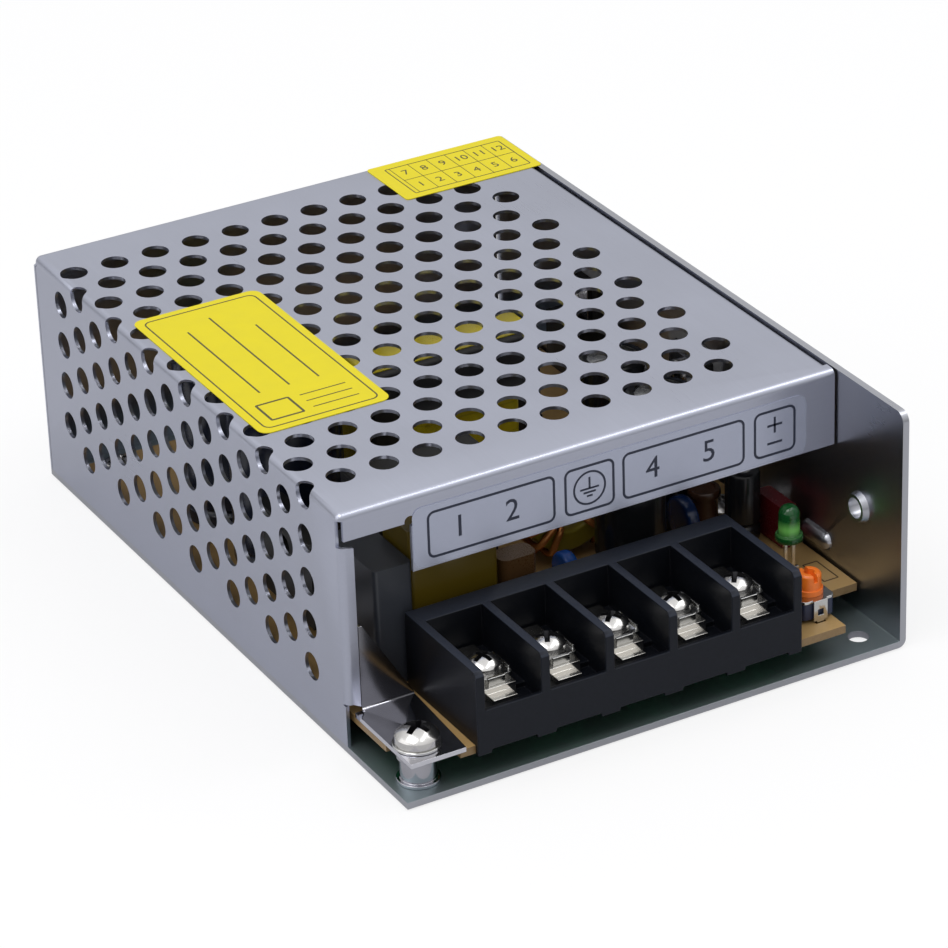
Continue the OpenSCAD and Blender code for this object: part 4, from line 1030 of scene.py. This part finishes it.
def tapeBand(node, finish, depth, lift):
    # a turn of tape round the outside of a core
    centre, low, high = middle(node)
    w, h = (high.x - low.x) / mm, (high.z - low.z) / mm
    band = built(boxLine(-lift, -lift, w + lift, h + lift, 0.4, lift - 0.01, 0.0, depth), smooth=30)
    place = standing(Vector((low.x, centre.y + depth / 2 * mm, low.z)))
    keep(moved(dressed(band, finish), place), node.replace("_", "") + "Tape")


tapeYellow = woundTape("coreTape", (0.74, 0.60, 0.02), 40.0)
tapeBand("transformer_core", tapeYellow, 8.4, 0.12)
softened("transformer_bobbin", moulded("bobbinBlack", (0.010, 0.010, 0.011), 0.35, 0.1), 0.12)
print("wound parts made")

# small parts
epoxyBlack = moulded("epoxyBlack", (0.014, 0.014, 0.015), 0.42, 0.35)


def resistorLacquer():
    # tan bodies with colour bands round them
    made = moulded("resistorLacquer", (0.46, 0.30, 0.14), 0.32, 0.05)
    x = made.axes()[0]
    mesh = nodes["resistors"].data
    runs = {}
    for vertex in mesh.vertices:
        runs.setdefault(round(vertex.co.x / mm / 13), []).append(vertex.co.x)
    centres = sorted({(min(r) + max(r)) / 2 for r in runs.values() if max(r) - min(r) > 5 * mm})
    away = x - centres[0]
    for first, second in zip(centres, centres[1:]):
        after = x > (first + second) / 2
        away = away * (1 - after) + (x - second) * after
    colour = made.mix(made.noise(2.0, 2.0, 0.5), (0.44, 0.29, 0.13), (0.50, 0.34, 0.17))
    for place, band in ((-2.3, (0.12, 0.04, 0.01)), (-1.1, (0.006, 0.006, 0.006)), (0.0, (0.45, 0.02, 0.01)),
                        (2.1, (0.45, 0.30, 0.06))):
        colour = made.mix(abs(away - place * mm) < 0.28 * mm, colour, band)
    wire = abs(away) > 3.25 * mm
    colour = made.mix(wire, colour, (0.62, 0.61, 0.58))
    made.put("Metallic", wire * 0.9)
    return made.put("Base Color", colour)


def fuseGlass():
    made = Finish("fuseGlass", Roughness=0.06, IOR=1.5, Transmission_Weight=0.9)
    made.paint(made.noise(0.6, 2.0, 0.5), (0.85, 0.90, 0.90), (0.95, 0.98, 0.97))
    return made.bump(made.noise(0.4, 2.0, 0.5), 0.03, 0.03)


softened("resistors", resistorLacquer(), 0.2, 3)
softened("fuse_glass", fuseGlass(), 0.05)
softened("fuse_caps", washerNickel, 0.2, 3)
softened("inrush_disc", moulded("inrushGreen", (0.012, 0.060, 0.022), 0.3, 0.08), 0.5, 4)
for node in ("bridge_rectifier", "switching_transistor", "output_rectifier", "optocoupler"):
    legTop = (case["boardTop"] + 2.4) * mm
    softened(node, epoxyBlack, 0.14, 2, second=contactTin, pick=lambda polygon: polygon.center.z < legTop)
softened("insulating_pads", moulded("siliconePad", (0.36, 0.36, 0.38), 0.55, 0.2), 0.05)
softened("device_clips", stripSteel, 0.08)
print("small parts made")

# floor, light and camera, with the lens and sensor in mm
studio = {"azimuth": -28.627, "elevation": 28.118, "roll": -2.02, "distance": 0.580, "lens": 169.253165,
          "sensor": 36.0, "aim": (-0.01963, -0.04063, 0.03734), "sky": 0.95, "ground": 0.03,
          "glow": 0.62, "glowLevel": 1.2}
panels = {
    "keyPanel": {"place": (-0.45, -0.15, 0.95), "size": (0.7, 0.5), "power": 3.2},
    "sidePanel": {"place": (-0.95, 0.16, 0.42), "size": (1.0, 0.8), "power": 1.8},
    "rightPanel": {"place": (0.6, -0.1, 0.7), "size": (0.4, 0.4), "power": 1.0},
    "foldPanel": {"place": (0.25, -0.30, 0.85), "size": (0.6, 0.10), "power": 0.7},
}


def plainView(owner, rays):
    # 1 for rays from the camera and through glass
    straight, through = (Wire(owner, rays.outputs[label]) for label in ("Is Camera Ray", "Is Transmission Ray"))
    return straight.calc("MAXIMUM", through)


def makeStage():
    floorMesh = bpy.data.meshes.new("floor")
    floorMesh.from_pydata([(-3, -3, 0), (3, -3, 0), (3, 3, 0), (-3, 3, 0)], [], [(0, 1, 2, 3)])
    floor = linked(floorMesh, "floor")
    floor.location.z = cadBox[0][2] - 0.0002
    made = Finish("paperFloor", Roughness=0.9)
    made.put("Base Color", (0.55, 0.55, 0.56))
    tree = made.tree
    rays = tree.nodes.new("ShaderNodeLightPath")
    glow = tree.nodes.new("ShaderNodeEmission")
    glow.inputs["Color"].default_value = (1, 1, 1, 1)
    glow.inputs["Strength"].default_value = studio["glowLevel"]
    share = plainView(made, rays) * studio["glow"]
    blend = tree.nodes.new("ShaderNodeMixShader")
    tree.links.new(share.socket, blend.inputs["Fac"])
    tree.links.new(made.shader.outputs[0], blend.inputs[1])
    tree.links.new(glow.outputs[0], blend.inputs[2])
    tree.links.new(blend.outputs[0], tree.nodes["Material Output"].inputs["Surface"])
    floorMesh.materials.append(made.material)


def makePanels():
    for name, panel in panels.items():
        data = bpy.data.lights.new(name, "AREA")
        data.shape = "RECTANGLE"
        data.size, data.size_y = panel["size"]
        data.energy = panel["power"]
        light = linked(data, name)
        light.location = panel["place"]
        towards = Vector((0, 0, 0.01)) - Vector(panel["place"])
        light.rotation_euler = towards.to_track_quat("-Z", "Y").to_euler()


def makeWorld():
    # brighter overhead than at the horizon; the camera sees plain white, metal a dark horizon
    world = bpy.data.worlds.new("studio")
    bpy.context.scene.world = world
    world.use_nodes = True
    sky = Tree()
    sky.tree = world.node_tree
    up = sky.split(sky.node("ShaderNodeTexCoord", output=0))[2]
    level = up.ramp(-0.1, 0.75, studio["ground"], studio["sky"])
    rays = world.node_tree.nodes.new("ShaderNodeLightPath")
    seen = plainView(sky, rays)
    mirrored = up.ramp(-0.1, 0.25, studio["ground"], 0.72) + up.ramp(0.40, 0.75) * 0.35
    glossy = Wire(sky, rays.outputs["Is Glossy Ray"]) * (1 - seen)
    strength = level * (1 - seen) * (1 - glossy) + mirrored * glossy + seen
    background = world.node_tree.nodes["Background"]
    background.inputs["Color"].default_value = (1, 1, 1, 1)
    world.node_tree.links.new(strength.socket, background.inputs["Strength"])


def makeCamera():
    data = bpy.data.cameras.new("camera")
    camera = linked(data, "camera")
    azimuth, elevation = math.radians(studio["azimuth"]), math.radians(studio["elevation"])
    flat = math.cos(elevation)
    back = Vector((math.sin(azimuth) * flat, -math.cos(azimuth) * flat, math.sin(elevation)))
    data.sensor_width = studio["sensor"]
    data.lens = studio["lens"]
    data.clip_start = 0.01
    data.clip_end = 20
    turn = back.to_track_quat("Z", "Y").to_matrix() @ Matrix.Rotation(math.radians(studio["roll"]), 3, "Z")
    camera.matrix_world = Matrix.Translation(Vector(studio["aim"]) + back * studio["distance"]) @ turn.to_4x4()
    bpy.context.scene.camera = camera


makeStage()
makeWorld()
makePanels()
makeCamera()
bpy.context.scene.view_settings.view_transform = "Standard"
print("studio made")
